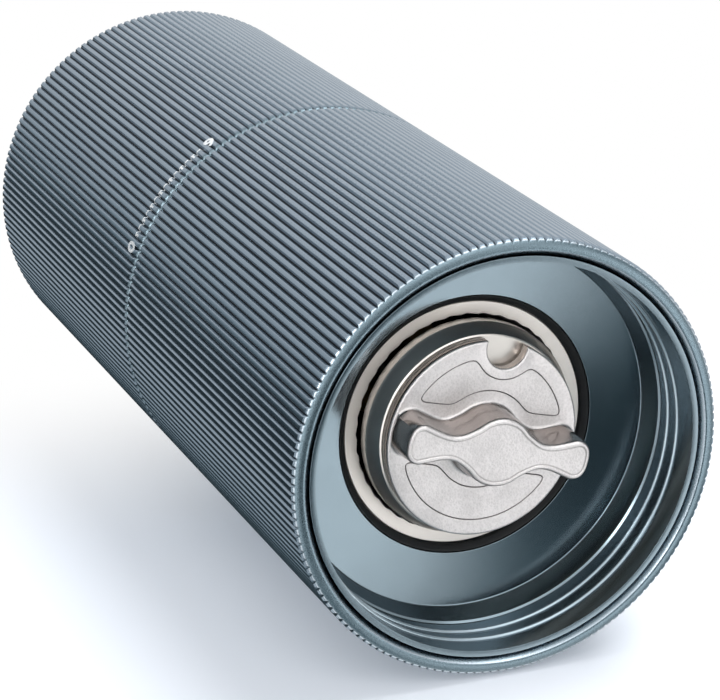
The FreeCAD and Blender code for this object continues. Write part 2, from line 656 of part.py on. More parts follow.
def wing_knob():
    body = new_body("wing_knob")
    disc = new_sketch(body, "disc_outline", height=DISC_FACE)
    circle(disc, "0", "0", "disc_radius")
    pad(body, disc, "disc_height")
    wing = new_sketch(body, "wing_outline", height=DISC_FACE, turn="wing_angle")
    lobe_half = "sqrt(lobe_radius ^ 2 - lobe_reach ^ 2)"
    tip_reach = "sqrt(disc_radius ^ 2 - tip_half ^ 2)"
    quarter = [("lobe_reach", lobe_half), ("waist_reach", "waist_half"), ("end_reach", "end_half"),
               (tip_reach, "tip_half")]
    sides = [
        (quarter[3][0], "-" + quarter[3][1], "disc_radius", 1),
        (quarter[3][0], quarter[3][1], "end_half", 1),
        (quarter[2][0], quarter[2][1]),
        (quarter[1][0], quarter[1][1], "lobe_radius", -1),
        (quarter[0][0], quarter[0][1], "lobe_radius", 1),
        ("-" + quarter[0][0], quarter[0][1], "lobe_radius", -1),
        ("-" + quarter[1][0], quarter[1][1]),
        ("-" + quarter[2][0], quarter[2][1], "end_half", 1),
        ("-" + quarter[3][0], quarter[3][1], "disc_radius", 1),
        ("-" + quarter[3][0], "-" + quarter[3][1], "end_half", 1),
        ("-" + quarter[2][0], "-" + quarter[2][1]),
        ("-" + quarter[1][0], "-" + quarter[1][1], "lobe_radius", -1),
        ("-" + quarter[0][0], "-" + quarter[0][1], "lobe_radius", 1),
        (quarter[0][0], "-" + quarter[0][1], "lobe_radius", -1),
        (quarter[1][0], "-" + quarter[1][1]),
        (quarter[2][0], "-" + quarter[2][1], "end_half", 1)]
    outline(wing, sides)
    raised = pad(body, wing, "wing_height", down=True)
    raised.setExpression("TaperAngle", bound("-wing_draft"))
    bore = new_sketch(body, "stud_hole", height=DISC_TOP)
    circle(bore, "0", "0", "stud_radius + fit_clearance")
    pocket(body, bore, "disc_height + wing_height - stud_roof", upward=False)
    notch = new_sketch(body, "disc_notch", height=DISC_FACE, turn="notch_angle")
    circle(notch, "notch_reach", "0", "notch_radius")
    pocket(body, notch, "disc_height")


def burr_bridge():
    body = turned_body("burr_bridge", ring(FUNNEL, TUBE, LEDGE, TUBE_FOOT))
    hub_foot = f"({TUBE_FOOT} - bridge_hub_height / 2 - bridge_height / 2)"
    arm = new_sketch(body, "bridge_arm", height=LEDGE)
    outline(arm, [("0", "-bridge_arm / 2"), (TUBE_BORE, "-bridge_arm / 2"),
                  (TUBE_BORE, "bridge_arm / 2"), ("0", "bridge_arm / 2")])
    doc.recompute()
    spoke = pad(body, arm, "bridge_height")
    doc.recompute()
    around(body, spoke, arm, "arm_count")
    doc.recompute()
    hub = new_sketch(body, "bridge_hub", height=hub_foot)
    circle(hub, "0", "0", "bridge_hub")
    pad(body, hub, "bridge_hub_height")
    bore = new_sketch(body, "bridge_bore", height=hub_foot)
    circle(bore, "0", "0", f"{BUSH} + fit_clearance / 2")
    pocket(body, bore)
    turned_body("bridge_bush", [
        (SHAFT_BORE, f"{hub_foot} - bush_flange"), ("bridge_hub", f"{hub_foot} - bush_flange"),
        ("bridge_hub", hub_foot), (BUSH, hub_foot), (BUSH, f"{hub_foot} + bridge_hub_height"),
        (SHAFT_BORE, f"{hub_foot} + bridge_hub_height")])


def hopper_tube():
    body = turned_body("hopper_tube", ring(TUBE_BORE, TUBE, TUBE_FOOT, TUBE_TOP))
    slot_foot = f"({ARM_FOOT} - thread_room)"
    slot = new_sketch(body, "arm_slot", height=slot_foot)
    half = "(carriage_arm / 2 + fit_clearance)"
    outline(slot, [("shaft_radius", f"-{half}"), (SPIGOT, f"-{half}"),
                   (SPIGOT, half), ("shaft_radius", half)])
    cut = pocket(body, slot)
    around(body, cut, slot, "arm_count")
    turned_body("top_collar", [
        (TUBE_BORE, TUBE_TOP), (TUBE, TUBE_TOP), (TUBE, f"{COLLAR_SEAT} + run_gap"),
        (COLLAR, f"{COLLAR_SEAT} + run_gap"), (COLLAR, "body_height - seam_bevel"),
        (f"{COLLAR} - seam_bevel", "body_height"), (f"{TUBE_BORE} + seam_bevel", "body_height"),
        (TUBE_BORE, "body_height - seam_bevel")])


def detent_ring():
    body = turned_body("detent_ring", ring(TUBE_SEAT, SPIGOT, SPIGOT_TOP, DETENT_TOP))
    notch = new_sketch(body, "click_notch", "YZ_Plane")
    outline(notch, [("0", f"{DETENT_TOP} - detent_depth"), ("detent_notch", f"{DETENT_TOP} + detent_depth"),
                    ("-detent_notch", f"{DETENT_TOP} + detent_depth")])
    cut = pocket(body, notch, "crest_radius")
    pattern = body.newObject("PartDesign::PolarPattern", "click_notch_round")
    pattern.Originals = [cut]
    pattern.Axis = (notch, ["V_Axis"])
    pattern.Angle = 360
    pattern.setExpression("Occurrences", bound("detent_count"))
    body.Tip = pattern


def click_plungers():
    """Two spring plungers in the upper sleeve, and the balls that ride on the detent ring."""
    shells = []
    balls = []
    ball_height = f"({DETENT_TOP} + fit_clearance + ball_radius)"
    for side, sign in (("right", ""), ("left", "-")):
        shell = doc.addObject("Part::Cylinder", f"plunger_{side}")
        shell.setExpression("Radius", bound("plunger_radius"))
        shell.setExpression("Height", bound(f"plunger_length + {FLANGE} - {ball_height}"))
        shell.setExpression("Placement.Base.x", bound(f"{sign}{PLUNGER}"))
        shell.setExpression("Placement.Base.z", bound(ball_height))
        socket = doc.addObject("Part::Sphere", f"plunger_socket_{side}")
        ball = doc.addObject("Part::Sphere", f"plunger_ball_{side}")
        for sphere, radius in ((socket, "ball_radius + fit_clearance / 2"), (ball, "ball_radius")):
            sphere.setExpression("Radius", bound(radius))
            sphere.setExpression("Placement.Base.x", bound(f"{sign}{PLUNGER}"))
            sphere.setExpression("Placement.Base.z", bound(ball_height))
        hollow = doc.addObject("Part::Cut", f"plunger_shell_{side}")
        hollow.Base = shell
        hollow.Tool = socket
        shells.append(hollow)
        balls.append(ball)
    for label, pieces in (("plunger_bodies", shells), ("plunger_balls", balls)):
        group = doc.addObject("Part::Compound", label)
        group.Label = label
        group.Links = pieces
        SUBPARTS.append(group)


def bearing_carriage():
    body = turned_body("bearing_carriage", [
        ("bearing_radius - race_wall", ARM_FOOT), ("carriage_hub", ARM_FOOT),
        ("carriage_hub", f"{ARM_FOOT} + carriage_hub_height"),
        ("bearing_radius + fit_clearance", f"{ARM_FOOT} + carriage_hub_height"),
        ("bearing_radius + fit_clearance", f"{BEARING_TOP} + clip_height"),
        ("bearing_radius + clip_grip", f"{BEARING_TOP} + clip_height"),
        ("bearing_radius + clip_grip", BEARING_TOP),
        ("bearing_radius + fit_clearance", BEARING_TOP),
        ("bearing_radius + fit_clearance", WASHER_FOOT),
        ("bearing_radius - race_wall", WASHER_FOOT)])
    inside = "(carriage_hub - clip_grip)"
    arm = new_sketch(body, "carriage_arm", height=ARM_FOOT)
    outline(arm, [(inside, "-carriage_arm / 2"), (f"{THREAD} - run_gap", "-carriage_arm / 2"),
                  (f"{THREAD} - run_gap", "carriage_arm / 2"), (inside, "carriage_arm / 2")])
    doc.recompute()
    spoke = pad(body, arm, "carriage_height")
    doc.recompute()
    around(body, spoke, arm, "arm_count")


def ball_bearing():
    inner = "(shaft_radius + race_wall)"
    outer = "(bearing_radius - race_wall)"
    turned_body("bearing_outer_ring", ring(outer, "bearing_radius", BEARING_FOOT, BEARING_TOP))
    bore = "(shaft_radius + fit_clearance / 2)"
    turned_body("bearing_inner_ring", ring(bore, inner, BEARING_FOOT, BEARING_TOP))
    turned_body("wave_washer", ring(outer, "bearing_radius", WASHER_FOOT, BEARING_FOOT))
    turned_body("bearing_clip", ring(
        outer, "bearing_radius + clip_grip - fit_clearance", BEARING_TOP, f"{BEARING_TOP} + clip_height"))
    edge = f"{inner} + fit_clearance"
    turned_pair("bearing_shields", [
        ring(edge, outer, BEARING_FOOT, f"{BEARING_FOOT} + shield_height"),
        ring(edge, outer, f"{BEARING_TOP} - shield_height", BEARING_TOP)])


def crank_lid():
    seal_mid = f"({PLUG_FOOT} + lid_plug_depth / 2)"
    pocket_wall = f"({LID_PLUG} - lid_wall)"
    turned_body("crank_lid", [
        ("socket_radius", PLUG_FOOT), ("hub_radius", PLUG_FOOT), ("hub_radius", LID_FOOT),
        (pocket_wall, LID_FOOT), (pocket_wall, PLUG_FOOT), (LID_PLUG, PLUG_FOOT),
        (LID_PLUG, f"{seal_mid} - lid_seal_radius"), (LID_SEAL_FLOOR, f"{seal_mid} - lid_seal_radius"),
        (LID_SEAL_FLOOR, f"{seal_mid} + lid_seal_radius"), (LID_PLUG, f"{seal_mid} + lid_seal_radius"),
        (LID_PLUG, LID_FOOT), (f"{LID} - seam_bevel", LID_FOOT),
        (LID, f"{LID_FOOT} + seam_bevel"), (LID, f"{LID_FOOT} + lid_edge", "dome_round", -1),
        ("hub_radius", HUB_TOP), ("screw_radius + fit_clearance", HUB_TOP),
        ("screw_radius + fit_clearance", SOCKET_TOP), ("socket_radius", SOCKET_TOP)])
    o_ring("lid_seal", LID_SEAL_FLOOR, "lid_seal_radius", seal_mid)
    body = new_body("hub_socket")
    blank = new_sketch(body, "socket_blank", height=PLUG_FOOT)
    circle(blank, "0", "0", "socket_radius")
    pad(body, blank, f"{SOCKET_TOP} - {PLUG_FOOT}")
    hole = new_sketch(body, "socket_hole", height=PLUG_FOOT)
    hexagon(hole, "0", "0", "hex_width + 2 * socket_clearance")
    pocket(body, hole)


def crank_arm():
    body = new_body("crank_arm")
    bar = new_sketch(body, "arm_outline", height=HUB_TOP)
    outline(bar, [
        ("arm_root", "0"), ("arm_tip", "arm_length", "arm_tip", 1),
        ("0", "arm_length + arm_tip", "arm_tip", 1), ("-arm_tip", "arm_length"),
        ("-arm_root", "0", "arm_root", 1), ("0", "-arm_root", "arm_root", 1)])
    pad(body, bar, "arm_height")
    holes = new_sketch(body, "arm_holes", height=HUB_TOP)
    circle(holes, "0", "0", "screw_radius + fit_clearance")
    circle(holes, "0", "arm_length", "spindle_radius + fit_clearance / 2")
    pocket(body, holes)
    turned_body("hub_screw", [
        ("0", SOCKET_TOP), ("screw_radius", SOCKET_TOP), ("screw_radius", CRANK_TOP),
        ("screw_head", CRANK_TOP), ("screw_head", f"{CRANK_TOP} + screw_dome / 3"),
        ("screw_head / 2", f"{CRANK_TOP} + screw_dome"), ("0", f"{CRANK_TOP} + screw_dome")])


def knob_spindle():
    nut_foot = f"({HUB_TOP} - nut_height)"
    turned_body("knob_spindle", [
        ("0", nut_foot), ("spindle_radius", nut_foot), ("spindle_radius", CRANK_TOP),
        ("spindle_collar", CRANK_TOP), ("spindle_collar", f"{CRANK_TOP} + spindle_step"),
        ("spindle_radius", f"{CRANK_TOP} + spindle_step"), ("spindle_radius", HEAD_FOOT),
        ("spindle_head", HEAD_FOOT), ("spindle_head", HEAD_TOP), ("0", HEAD_TOP)], y="arm_length")
    nut = new_body("spindle_nut")
    blank = new_sketch(nut, "nut_outline", height=nut_foot)
    hexagon(blank, "0", "0", "nut_width")
    circle(blank, "0", "0", "spindle_radius + fit_clearance / 2")
    pad(nut, blank, "nut_height")
    nut.setExpression("Placement.Base.y", bound("arm_length"))


def crank_knob():
    turned_body("crank_knob", [
        (KNOB_BORE, KNOB_FOOT), ("knob_foot", KNOB_FOOT, "knob_flank", 1),
        ("knob_belly", f"{KNOB_FOOT} + knob_belly_rise", "knob_shoulder", 1),
        ("knob_crown", KNOB_TOP), ("knob_cap_radius + fit_clearance / 2", KNOB_TOP),
        ("knob_cap_radius + fit_clearance / 2", CAP_FOOT), ("spindle_head + run_gap", CAP_FOOT),
        ("spindle_head + run_gap", CAP_SEAT), (KNOB_BORE, CAP_SEAT)], y="arm_length")
    fitted = f"({KNOB_BORE} - fit_clearance / 2)"
    lower_end = f"{KNOB_FOOT} + knob_bush_length"
    upper_end = f"{CAP_SEAT} - knob_bush_length"
    upper_flange = f"{CAP_SEAT} + knob_bush_flange"
    turned_pair("knob_bushes", [
        [(SPINDLE_BORE, KNOB_BUSH_FOOT), ("spindle_collar", KNOB_BUSH_FOOT), ("spindle_collar", KNOB_FOOT),
         (fitted, KNOB_FOOT), (fitted, lower_end), (SPINDLE_BORE, lower_end)],
        [(SPINDLE_BORE, upper_end), (fitted, upper_end), (fitted, CAP_SEAT), ("spindle_head", CAP_SEAT),
         ("spindle_head", upper_flange), (SPINDLE_BORE, upper_flange)]], y="arm_length")
    turned_body("knob_cap", [
        ("0", CAP_FOOT), ("knob_cap_radius", CAP_FOOT), ("knob_cap_radius", KNOB_TOP), ("0", KNOB_TOP)],
        y="arm_length")


def build():
    lower_sleeve()
    upper_sleeve()
    burr_barrel()
    burr_retaining_ring()
    ring_burr()
    inner_burr()
    drive_shaft()
    shaft_clips()
    wing_knob()
    burr_bridge()
    hopper_tube()
    detent_ring()
    click_plungers()
    bearing_carriage()
    ball_bearing()
    crank_lid()
    crank_arm()
    knob_spindle()
    crank_knob()
    doc.recompute()


def write():
    """Check every object of the document, then write one file for each sub-part."""
    for item in doc.Objects:
        if "Invalid" in item.State or "Error" in item.State:
            raise RuntimeError(f"{item.Label}: {item.State}")
    for piece in SUBPARTS:
        if piece.Shape.isNull() or not piece.Shape.isValid() or not piece.Shape.Solids:
            raise RuntimeError(f"{piece.Label}: bad shape")
    os.makedirs("parts", exist_ok=True)
    for piece in SUBPARTS:
        piece.Shape.exportStep(f"parts/{piece.Label}.step")
        print(piece.Label, len(piece.Shape.Solids), round(piece.Shape.Volume, 1))


build()
write()
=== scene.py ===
"""Looks of a hand crank coffee grinder: ribbed anodised sleeves, threaded skirt, steel burrs, cast
wing knob and a walnut crank knob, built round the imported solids."""
import math

import bmesh
import bpy
import numpy as np
from bpy.props import FloatProperty, FloatVectorProperty, IntProperty, PointerProperty
from mathutils import Matrix, Vector
from mathutils.geometry import delaunay_2d_cdt


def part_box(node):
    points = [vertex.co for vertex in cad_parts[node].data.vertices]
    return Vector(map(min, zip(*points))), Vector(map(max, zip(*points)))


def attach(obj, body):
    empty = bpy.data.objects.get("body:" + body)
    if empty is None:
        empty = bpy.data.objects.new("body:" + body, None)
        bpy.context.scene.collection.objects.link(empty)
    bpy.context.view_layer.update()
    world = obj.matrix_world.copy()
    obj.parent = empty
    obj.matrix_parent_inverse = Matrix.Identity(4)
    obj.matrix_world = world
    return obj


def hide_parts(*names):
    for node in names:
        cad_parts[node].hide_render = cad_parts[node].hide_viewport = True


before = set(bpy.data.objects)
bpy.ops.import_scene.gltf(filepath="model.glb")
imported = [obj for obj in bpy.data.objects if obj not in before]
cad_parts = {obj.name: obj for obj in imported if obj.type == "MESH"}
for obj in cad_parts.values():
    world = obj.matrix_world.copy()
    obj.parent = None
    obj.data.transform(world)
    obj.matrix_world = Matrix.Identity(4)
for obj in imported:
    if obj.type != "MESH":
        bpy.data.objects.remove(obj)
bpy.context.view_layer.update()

bl_info = {
    "name": "Coffee grinder looks",
    "version": (1, 0, 0),
    "blender": (4, 5, 0),
    "location": "View3D > Sidebar > Grinder",
    "description": "Builds the visible pieces of a hand crank coffee grinder",
    "category": "Object",
}

MM = 0.001


def heights(node):
    """Lowest and highest place of a solid along the shaft, in millimetres."""
    low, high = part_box(node)
    return low.z / MM, high.z / MM


def reach(node):
    """Widest place of a solid across the shaft, in millimetres."""
    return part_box(node)[1].x / MM


def linear(text):
    """An sRGB hex colour as linear values."""
    parts = [int(text[place:place + 2], 16) / 255 for place in (1, 3, 5)]
    return [part / 12.92 if part <= 0.04045 else ((part + 0.055) / 1.055) ** 2.4 for part in parts]


def shaded(colour, share, lift=0.0):
    """A linear colour made darker or lighter, with its alpha; the share is one number or one for each part."""
    shares = share if isinstance(share, tuple) else (share,) * 3
    return [min(part * scale + lift, 1) for part, scale in zip(colour, shares)] + [1]


# Colours that a user would change
SLATE = linear("#8b98a4")
TEAL = linear("#717e85")
CAST = linear("#cbc7c6")
STEEL = linear("#cdc8c2")
WALNUT = linear("#5d3a24")
MARK = linear("#e9ecee")


class SleeveSizes(bpy.types.PropertyGroup):
    """Ribbed sleeves"""
    rib_count: IntProperty(name="Ribs", description="Ribs round a sleeve", default=160, min=8)
    rib_depth: FloatProperty(
        name="Rib depth", description="Depth of the grooves", default=0.42 * MM, unit="LENGTH")
    rim_round: FloatProperty(
        name="Rim rounding", description="Rounding of the rim", default=0.8 * MM, unit="LENGTH")
    bevel: FloatProperty(name="Seam bevel", description="Bevel at the seam", default=0.55 * MM, unit="LENGTH")
    colour: FloatVectorProperty(name="Colour", description="Anodised colour", subtype="COLOR", default=SLATE)


class SkirtSizes(bpy.types.PropertyGroup):
    """Barrel with the cup thread"""
    pitch: FloatProperty(name="Pitch", description="Thread pitch", default=2.4 * MM, unit="LENGTH")
    turns: FloatProperty(name="Turns", description="Turns of the thread", default=2.5)
    ridge: FloatProperty(name="Ridge", description="Height of the thread", default=0.32 * MM, unit="LENGTH")
    colour: FloatVectorProperty(name="Colour", description="Anodised colour", subtype="COLOR", default=TEAL)


class BurrSizes(bpy.types.PropertyGroup):
    """Ring burr and inner burr"""
    ring_teeth: IntProperty(name="Ring teeth", description="Teeth of the ring burr", default=40, min=6)
    fine_teeth: IntProperty(name="Fine teeth", description="Fine teeth of the inner burr", default=36, min=6)
    blades: IntProperty(name="Blades", description="Breaking blades", default=6, min=3)
    tooth_depth: FloatProperty(
        name="Tooth depth", description="Depth of the teeth", default=0.5 * MM, unit="LENGTH")
    colour: FloatVectorProperty(name="Colour", description="Steel colour", subtype="COLOR", default=STEEL)


class KnobSizes(bpy.types.PropertyGroup):
    """Wing knob under the inner burr"""
    wing_height: FloatProperty(
        name="Wing height", description="Height of the wing", default=5.0 * MM, unit="LENGTH")
    wing_angle: FloatProperty(
        name="Wing direction", description="Direction of the wing", default=math.radians(60), subtype="ANGLE")
    notch_angle: FloatProperty(
        name="Notch direction", description="Direction of the notch", default=math.radians(-28),
        subtype="ANGLE")
    colour: FloatVectorProperty(name="Colour", description="Cast steel colour", subtype="COLOR", default=CAST)


class DialSizes(bpy.types.PropertyGroup):
    """Scale on the upper sleeve"""
    first: FloatProperty(
        name="First tick", description="Direction of the first tick", default=math.radians(-109),
        subtype="ANGLE")
    ticks: IntProperty(name="Ticks", description="Ticks of the scale", default=14, min=2)
    colour: FloatVectorProperty(name="Colour", description="Etched colour", subtype="COLOR", default=MARK)


class CrankSizes(bpy.types.PropertyGroup):
    """Lid, arm and turned knob"""
    edge_round: FloatProperty(
        name="Edge rounding", description="Edges of the arm", default=0.9 * MM, unit="LENGTH")
    colour: FloatVectorProperty(name="Wood", description="Wood colour", subtype="COLOR", default=WALNUT)


def add(tree, kind, inputs=None, **settings):
    """Adds a node with its settings; an input is a value, a socket, or a node that feeds it by its first
    live output."""
    made = tree.nodes.new(kind)
    for name, value in settings.items():
        setattr(made, name, value)
    for name, value in (inputs or {}).items():
        if isinstance(value, bpy.types.Node):
            value = next(socket for socket in value.outputs if socket.enabled)
        if isinstance(value, bpy.types.NodeSocket):
            tree.links.new(value, made.inputs[name])
        else:
            made.inputs[name].default_value = value
    return made


# Sockets of the two colours that a Mix node blends
FROM, TO = 6, 7


def started(name):
    """A new empty material, its tree, and the place on the piece that patterns read."""
    material = bpy.data.materials.new(name)
    material.use_nodes = True
    tree = material.node_tree
    tree.nodes.clear()
    return material, tree, add(tree, "ShaderNodeTexCoord").outputs["Object"]


def finished(tree, colour, pattern, rough, rise, more=None):
    """Closes a material: a pattern lifts the surface by rise, in metres, and spreads the roughness over a pair
    of values, unless a node gives that. The surface is bare metal unless more says otherwise."""
    if isinstance(rough, tuple):
        rough = add(tree, "ShaderNodeMapRange", {"Value": pattern, "To Min": rough[0], "To Max": rough[1]})
    bump = add(tree, "ShaderNodeBump", {"Height": pattern, "Strength": 1.0, "Distance": rise})
    inputs = {"Base Color": colour, "Metallic": 1.0, "Roughness": rough, "Normal": bump, **(more or {})}
    shader = add(tree, "ShaderNodeBsdfPrincipled", inputs)
    add(tree, "ShaderNodeOutputMaterial", {"Surface": shader})


def blasted_metal(name, colour, roughness, grain, depth):
    """Bead-blasted metal: an even satin with a fine sparkle and faint cloudiness. The grain is in
    millimetres and is drawn coarser than real grit, which would not show."""
    material, tree, place = started(name)
    grit = add(tree, "ShaderNodeTexNoise", {"Vector": place, "Scale": 1 / (grain * MM), "Detail": 3.0})
    cloud = add(tree, "ShaderNodeTexNoise", {"Vector": place, "Scale": 1 / (9 * MM), "Detail": 2.0})
    tone = add(tree, "ShaderNodeMix", {
        "Factor": cloud, FROM: shaded(colour, 0.88), TO: shaded(colour, 1.12)}, data_type="RGBA")
    finished(tree, tone, grit, (roughness * 0.82, roughness * 1.18), depth * MM)
    return material


# Share of the edge mark that the mesh of a sleeve carries on its rim's face, where the material turns it darker
# and greyer
RIM_FACE = 0.35


def ribbed_metal(name, colour, roughness):
    """Anodised and bead-blasted ribs: pale sparkling crests over grooves painted dark as shade. The mesh
    carries the depth in the groove and marks its edges: rib ends and chamfer paled, part wear and part painted
    highlight, and the rim's face and seam bevel made darker and greyer."""
    material, tree, place = started(name)
    groove = add(tree, "ShaderNodeAttribute", attribute_name="groove").outputs["Fac"]
    edge = add(tree, "ShaderNodeAttribute", attribute_name="edge").outputs["Fac"]
    # Painted shade: the deep part of each groove is painted near black where shade falls
    out_of_groove_shade = add(tree, "ShaderNodeMapRange", {
        "Value": groove, "From Min": 0.95, "From Max": 0.45}, interpolation_type="SMOOTHSTEP")
    grit = add(tree, "ShaderNodeTexNoise", {"Vector": place, "Scale": 1 / (0.16 * MM), "Detail": 3.0})
    cloud = add(tree, "ShaderNodeTexNoise", {"Vector": place, "Scale": 1 / (9 * MM), "Detail": 2.0})
    crest = add(tree, "ShaderNodeMix", {
        "Factor": cloud, FROM: shaded(colour, 0.93), TO: shaded(colour, 1.07)}, data_type="RGBA")
    ribs = add(tree, "ShaderNodeMix", {
        "Factor": out_of_groove_shade, FROM: shaded(colour, 0.12), TO: crest}, data_type="RGBA")
    # The rim's face and the seam's bevel turn darker and greyer
    facing = add(tree, "ShaderNodeMapRange", {"Value": edge, "From Min": 0.0, "From Max": RIM_FACE})
    faced = add(tree, "ShaderNodeMix", {
        "Factor": facing, FROM: ribs, TO: shaded(colour, (0.58, 0.64, 0.62))}, data_type="RGBA")
    # Rib ends and chamfer paled, partly as worn anodising and partly as a painted highlight
    bare = add(tree, "ShaderNodeMapRange", {"Value": edge, "From Min": RIM_FACE, "From Max": 1.0})
    paled_wear_and_highlight = add(tree, "ShaderNodeMix", {
        "Factor": bare, FROM: faced, TO: shaded(colour, 1.1, 0.28)}, data_type="RGBA")
    rise = add(tree, "ShaderNodeMapRange", {"Value": edge, "To Min": 0.012 * MM, "To Max": 0.03 * MM})
    finished(tree, paled_wear_and_highlight, grit, (roughness * 0.75, roughness * 1.2), rise)
    return material


def turned_metal(name, colour, roughness, line, depth, anisotropy=0.0):
    """Metal turned on a lathe: fine rings round the shaft that streak its reflections. The line
    spacing is in millimetres, drawn coarse enough to show."""
    material, tree, place = started(name)
    flat = add(tree, "ShaderNodeVectorMath", {0: place, 1: (1, 1, 0)}, operation="MULTIPLY")
    radius = add(tree, "ShaderNodeVectorMath", {0: flat}, operation="LENGTH")
    level = add(tree, "ShaderNodeSeparateXYZ", {"Vector": place}).outputs["Z"]
    along = add(tree, "ShaderNodeMath", {0: radius, 1: level}, operation="ADD")
    rings = add(tree, "ShaderNodeTexNoise", {
        "W": along, "Scale": 1 / (line * MM), "Detail": 2.0}, noise_dimensions="1D")
    cloud = add(tree, "ShaderNodeTexNoise", {"Vector": place, "Scale": 1 / (6 * MM), "Detail": 3.0})
    tone = add(tree, "ShaderNodeMix", {
        "Factor": cloud, FROM: shaded(colour, 0.9), TO: shaded(colour, 1.1)}, data_type="RGBA")
    streak = {}
    if anisotropy:
        tangent = add(tree, "ShaderNodeTangent", direction_type="RADIAL", axis="Z")
        streak = {"Anisotropic": anisotropy, "Tangent": tangent}
    finished(tree, tone, rings, (roughness * 0.8, roughness * 1.2), depth * MM, streak)
    return material


def cast_metal(name, colour):
    """Investment-cast steel, blasted pale on its faces and left smooth on the flanks of the wing, the disc's
    side and the notch, which are also painted darker as shade; the mesh marks these, as it does the engraved
    lines, which are painted dark as shade."""
    material, tree, place = started(name)
    flank = add(tree, "ShaderNodeAttribute", attribute_name="flank").outputs["Fac"]
    line = add(tree, "ShaderNodeAttribute", attribute_name="engraved").outputs["Fac"]
    grit = add(tree, "ShaderNodeTexNoise", {"Vector": place, "Scale": 1 / (0.15 * MM), "Detail": 4.0})
    pits = add(tree, "ShaderNodeTexVoronoi", {"Vector": place, "Scale": 1 / (0.3 * MM)})
    cloud = add(tree, "ShaderNodeTexNoise", {"Vector": place, "Scale": 1 / (4 * MM), "Detail": 3.0})
    grainy = add(tree, "ShaderNodeMath", {0: grit, 1: pits}, operation="ADD")
    mottle = add(tree, "ShaderNodeMath", {0: cloud, 1: grainy}, operation="MULTIPLY")
    strong = add(tree, "ShaderNodeMapRange", {"Value": mottle, "To Min": -0.3, "To Max": 1.7})
    tone = add(tree, "ShaderNodeMix", {
        "Factor": strong, FROM: shaded(colour, 0.86), TO: shaded(colour, 1.08)}, data_type="RGBA")
    # Painted shade: the engraved lines are painted dark
    lines_shaded = add(tree, "ShaderNodeMix", {
        "Factor": line, FROM: tone, TO: shaded(colour, 0.2)}, data_type="RGBA")
    # Painted shade: the smooth flanks, the disc's side and the notch are painted darker as well as made less
    # rough
    polish_and_flank_shade = add(tree, "ShaderNodeMix", {
        "Factor": flank, FROM: lines_shaded, TO: shaded(colour, (0.5, 0.46, 0.43))}, data_type="RGBA")
    matt = add(tree, "ShaderNodeMapRange", {"Value": grit, "To Min": 0.36, "To Max": 0.56})
    rough = add(tree, "ShaderNodeMix", {"Factor": flank, "A": matt, "B": 0.16})
    rise = add(tree, "ShaderNodeMapRange", {"Value": flank, "To Min": 0.018 * MM, "To Max": 0.003 * MM})
    finished(tree, polish_and_flank_shade, grainy, rough, rise)
    return material


def moulded(name, colour, roughness, grain, depth):
    """Moulded plastic or rubber: a dull dark skin with a faint moulded grain, sized in millimetres."""
    material, tree, place = started(name)
    grit = add(tree, "ShaderNodeTexNoise", {"Vector": place, "Scale": 1 / (grain * MM), "Detail": 2.0})
    tone = add(tree, "ShaderNodeMix", {
        "Factor": grit, FROM: shaded(colour, 0.8), TO: shaded(colour, 1.2)}, data_type="RGBA")
    finished(tree, tone, grit, (roughness * 0.85, roughness * 1.15), depth * MM,
             {"Metallic": 0.0, "IOR": 1.5, "Specular IOR Level": 0.25})
    return material


def turned_walnut(name, colour):
    """Oiled walnut, turned along the grain: dark growth lines, short pores and a low sheen."""
    material, tree, place = started(name)
    moved = add(tree, "ShaderNodeMapping", {"Vector": place, "Location": (0.006, -0.11, 0)})
    stretched = add(tree, "ShaderNodeMapping", {"Vector": moved, "Scale": (1, 1, 0.12)})
    drift = add(tree, "ShaderNodeTexNoise", {"Vector": stretched, "Scale": 1 / (7 * MM), "Detail": 3.0})
    wave = add(tree, "ShaderNodeTexWave", {
        "Vector": stretched, "Scale": 0.16 / MM, "Distortion": 5.0, "Detail": 2.0, "Detail Scale": 1.5},
        wave_type="RINGS", rings_direction="Z").outputs["Fac"]
    pores = add(tree, "ShaderNodeTexNoise", {"Vector": stretched, "Scale": 1 / (0.35 * MM), "Detail": 2.0})
    grain = add(tree, "ShaderNodeMath", {0: wave, 1: drift}, operation="MULTIPLY")
    mixed = add(tree, "ShaderNodeMath", {0: grain, 1: pores}, operation="ADD")
    strong = add(tree, "ShaderNodeMapRange", {"Value": mixed, "To Min": -0.25, "To Max": 1.0})
    tone = add(tree, "ShaderNodeValToRGB", {"Fac": strong})
    for end, share in zip(tone.color_ramp.elements, (0.45, 1.7)):
        end.color = shaded(colour, share)
    finished(tree, tone, pores, (0.38, 0.55), 0.03 * MM,
             {"Metallic": 0.0, "IOR": 1.5, "Coat Weight": 0.15, "Coat Roughness": 0.3})
    return material


def etched(name, colour):
    """Laser-etched anodising: the bare oxide, pale and dull."""
    material, tree, place = started(name)
    grit = add(tree, "ShaderNodeTexNoise", {"Vector": place, "Scale": 1 / (0.12 * MM), "Detail": 2.0})
    tone = add(tree, "ShaderNodeMix", {
        "Factor": grit, FROM: shaded(colour, 0.8), TO: shaded(colour, 1.0)}, data_type="RGBA")
    finished(tree, tone, grit, (0.5, 0.7), 0.01 * MM, {"Metallic": 0.3})
    return material


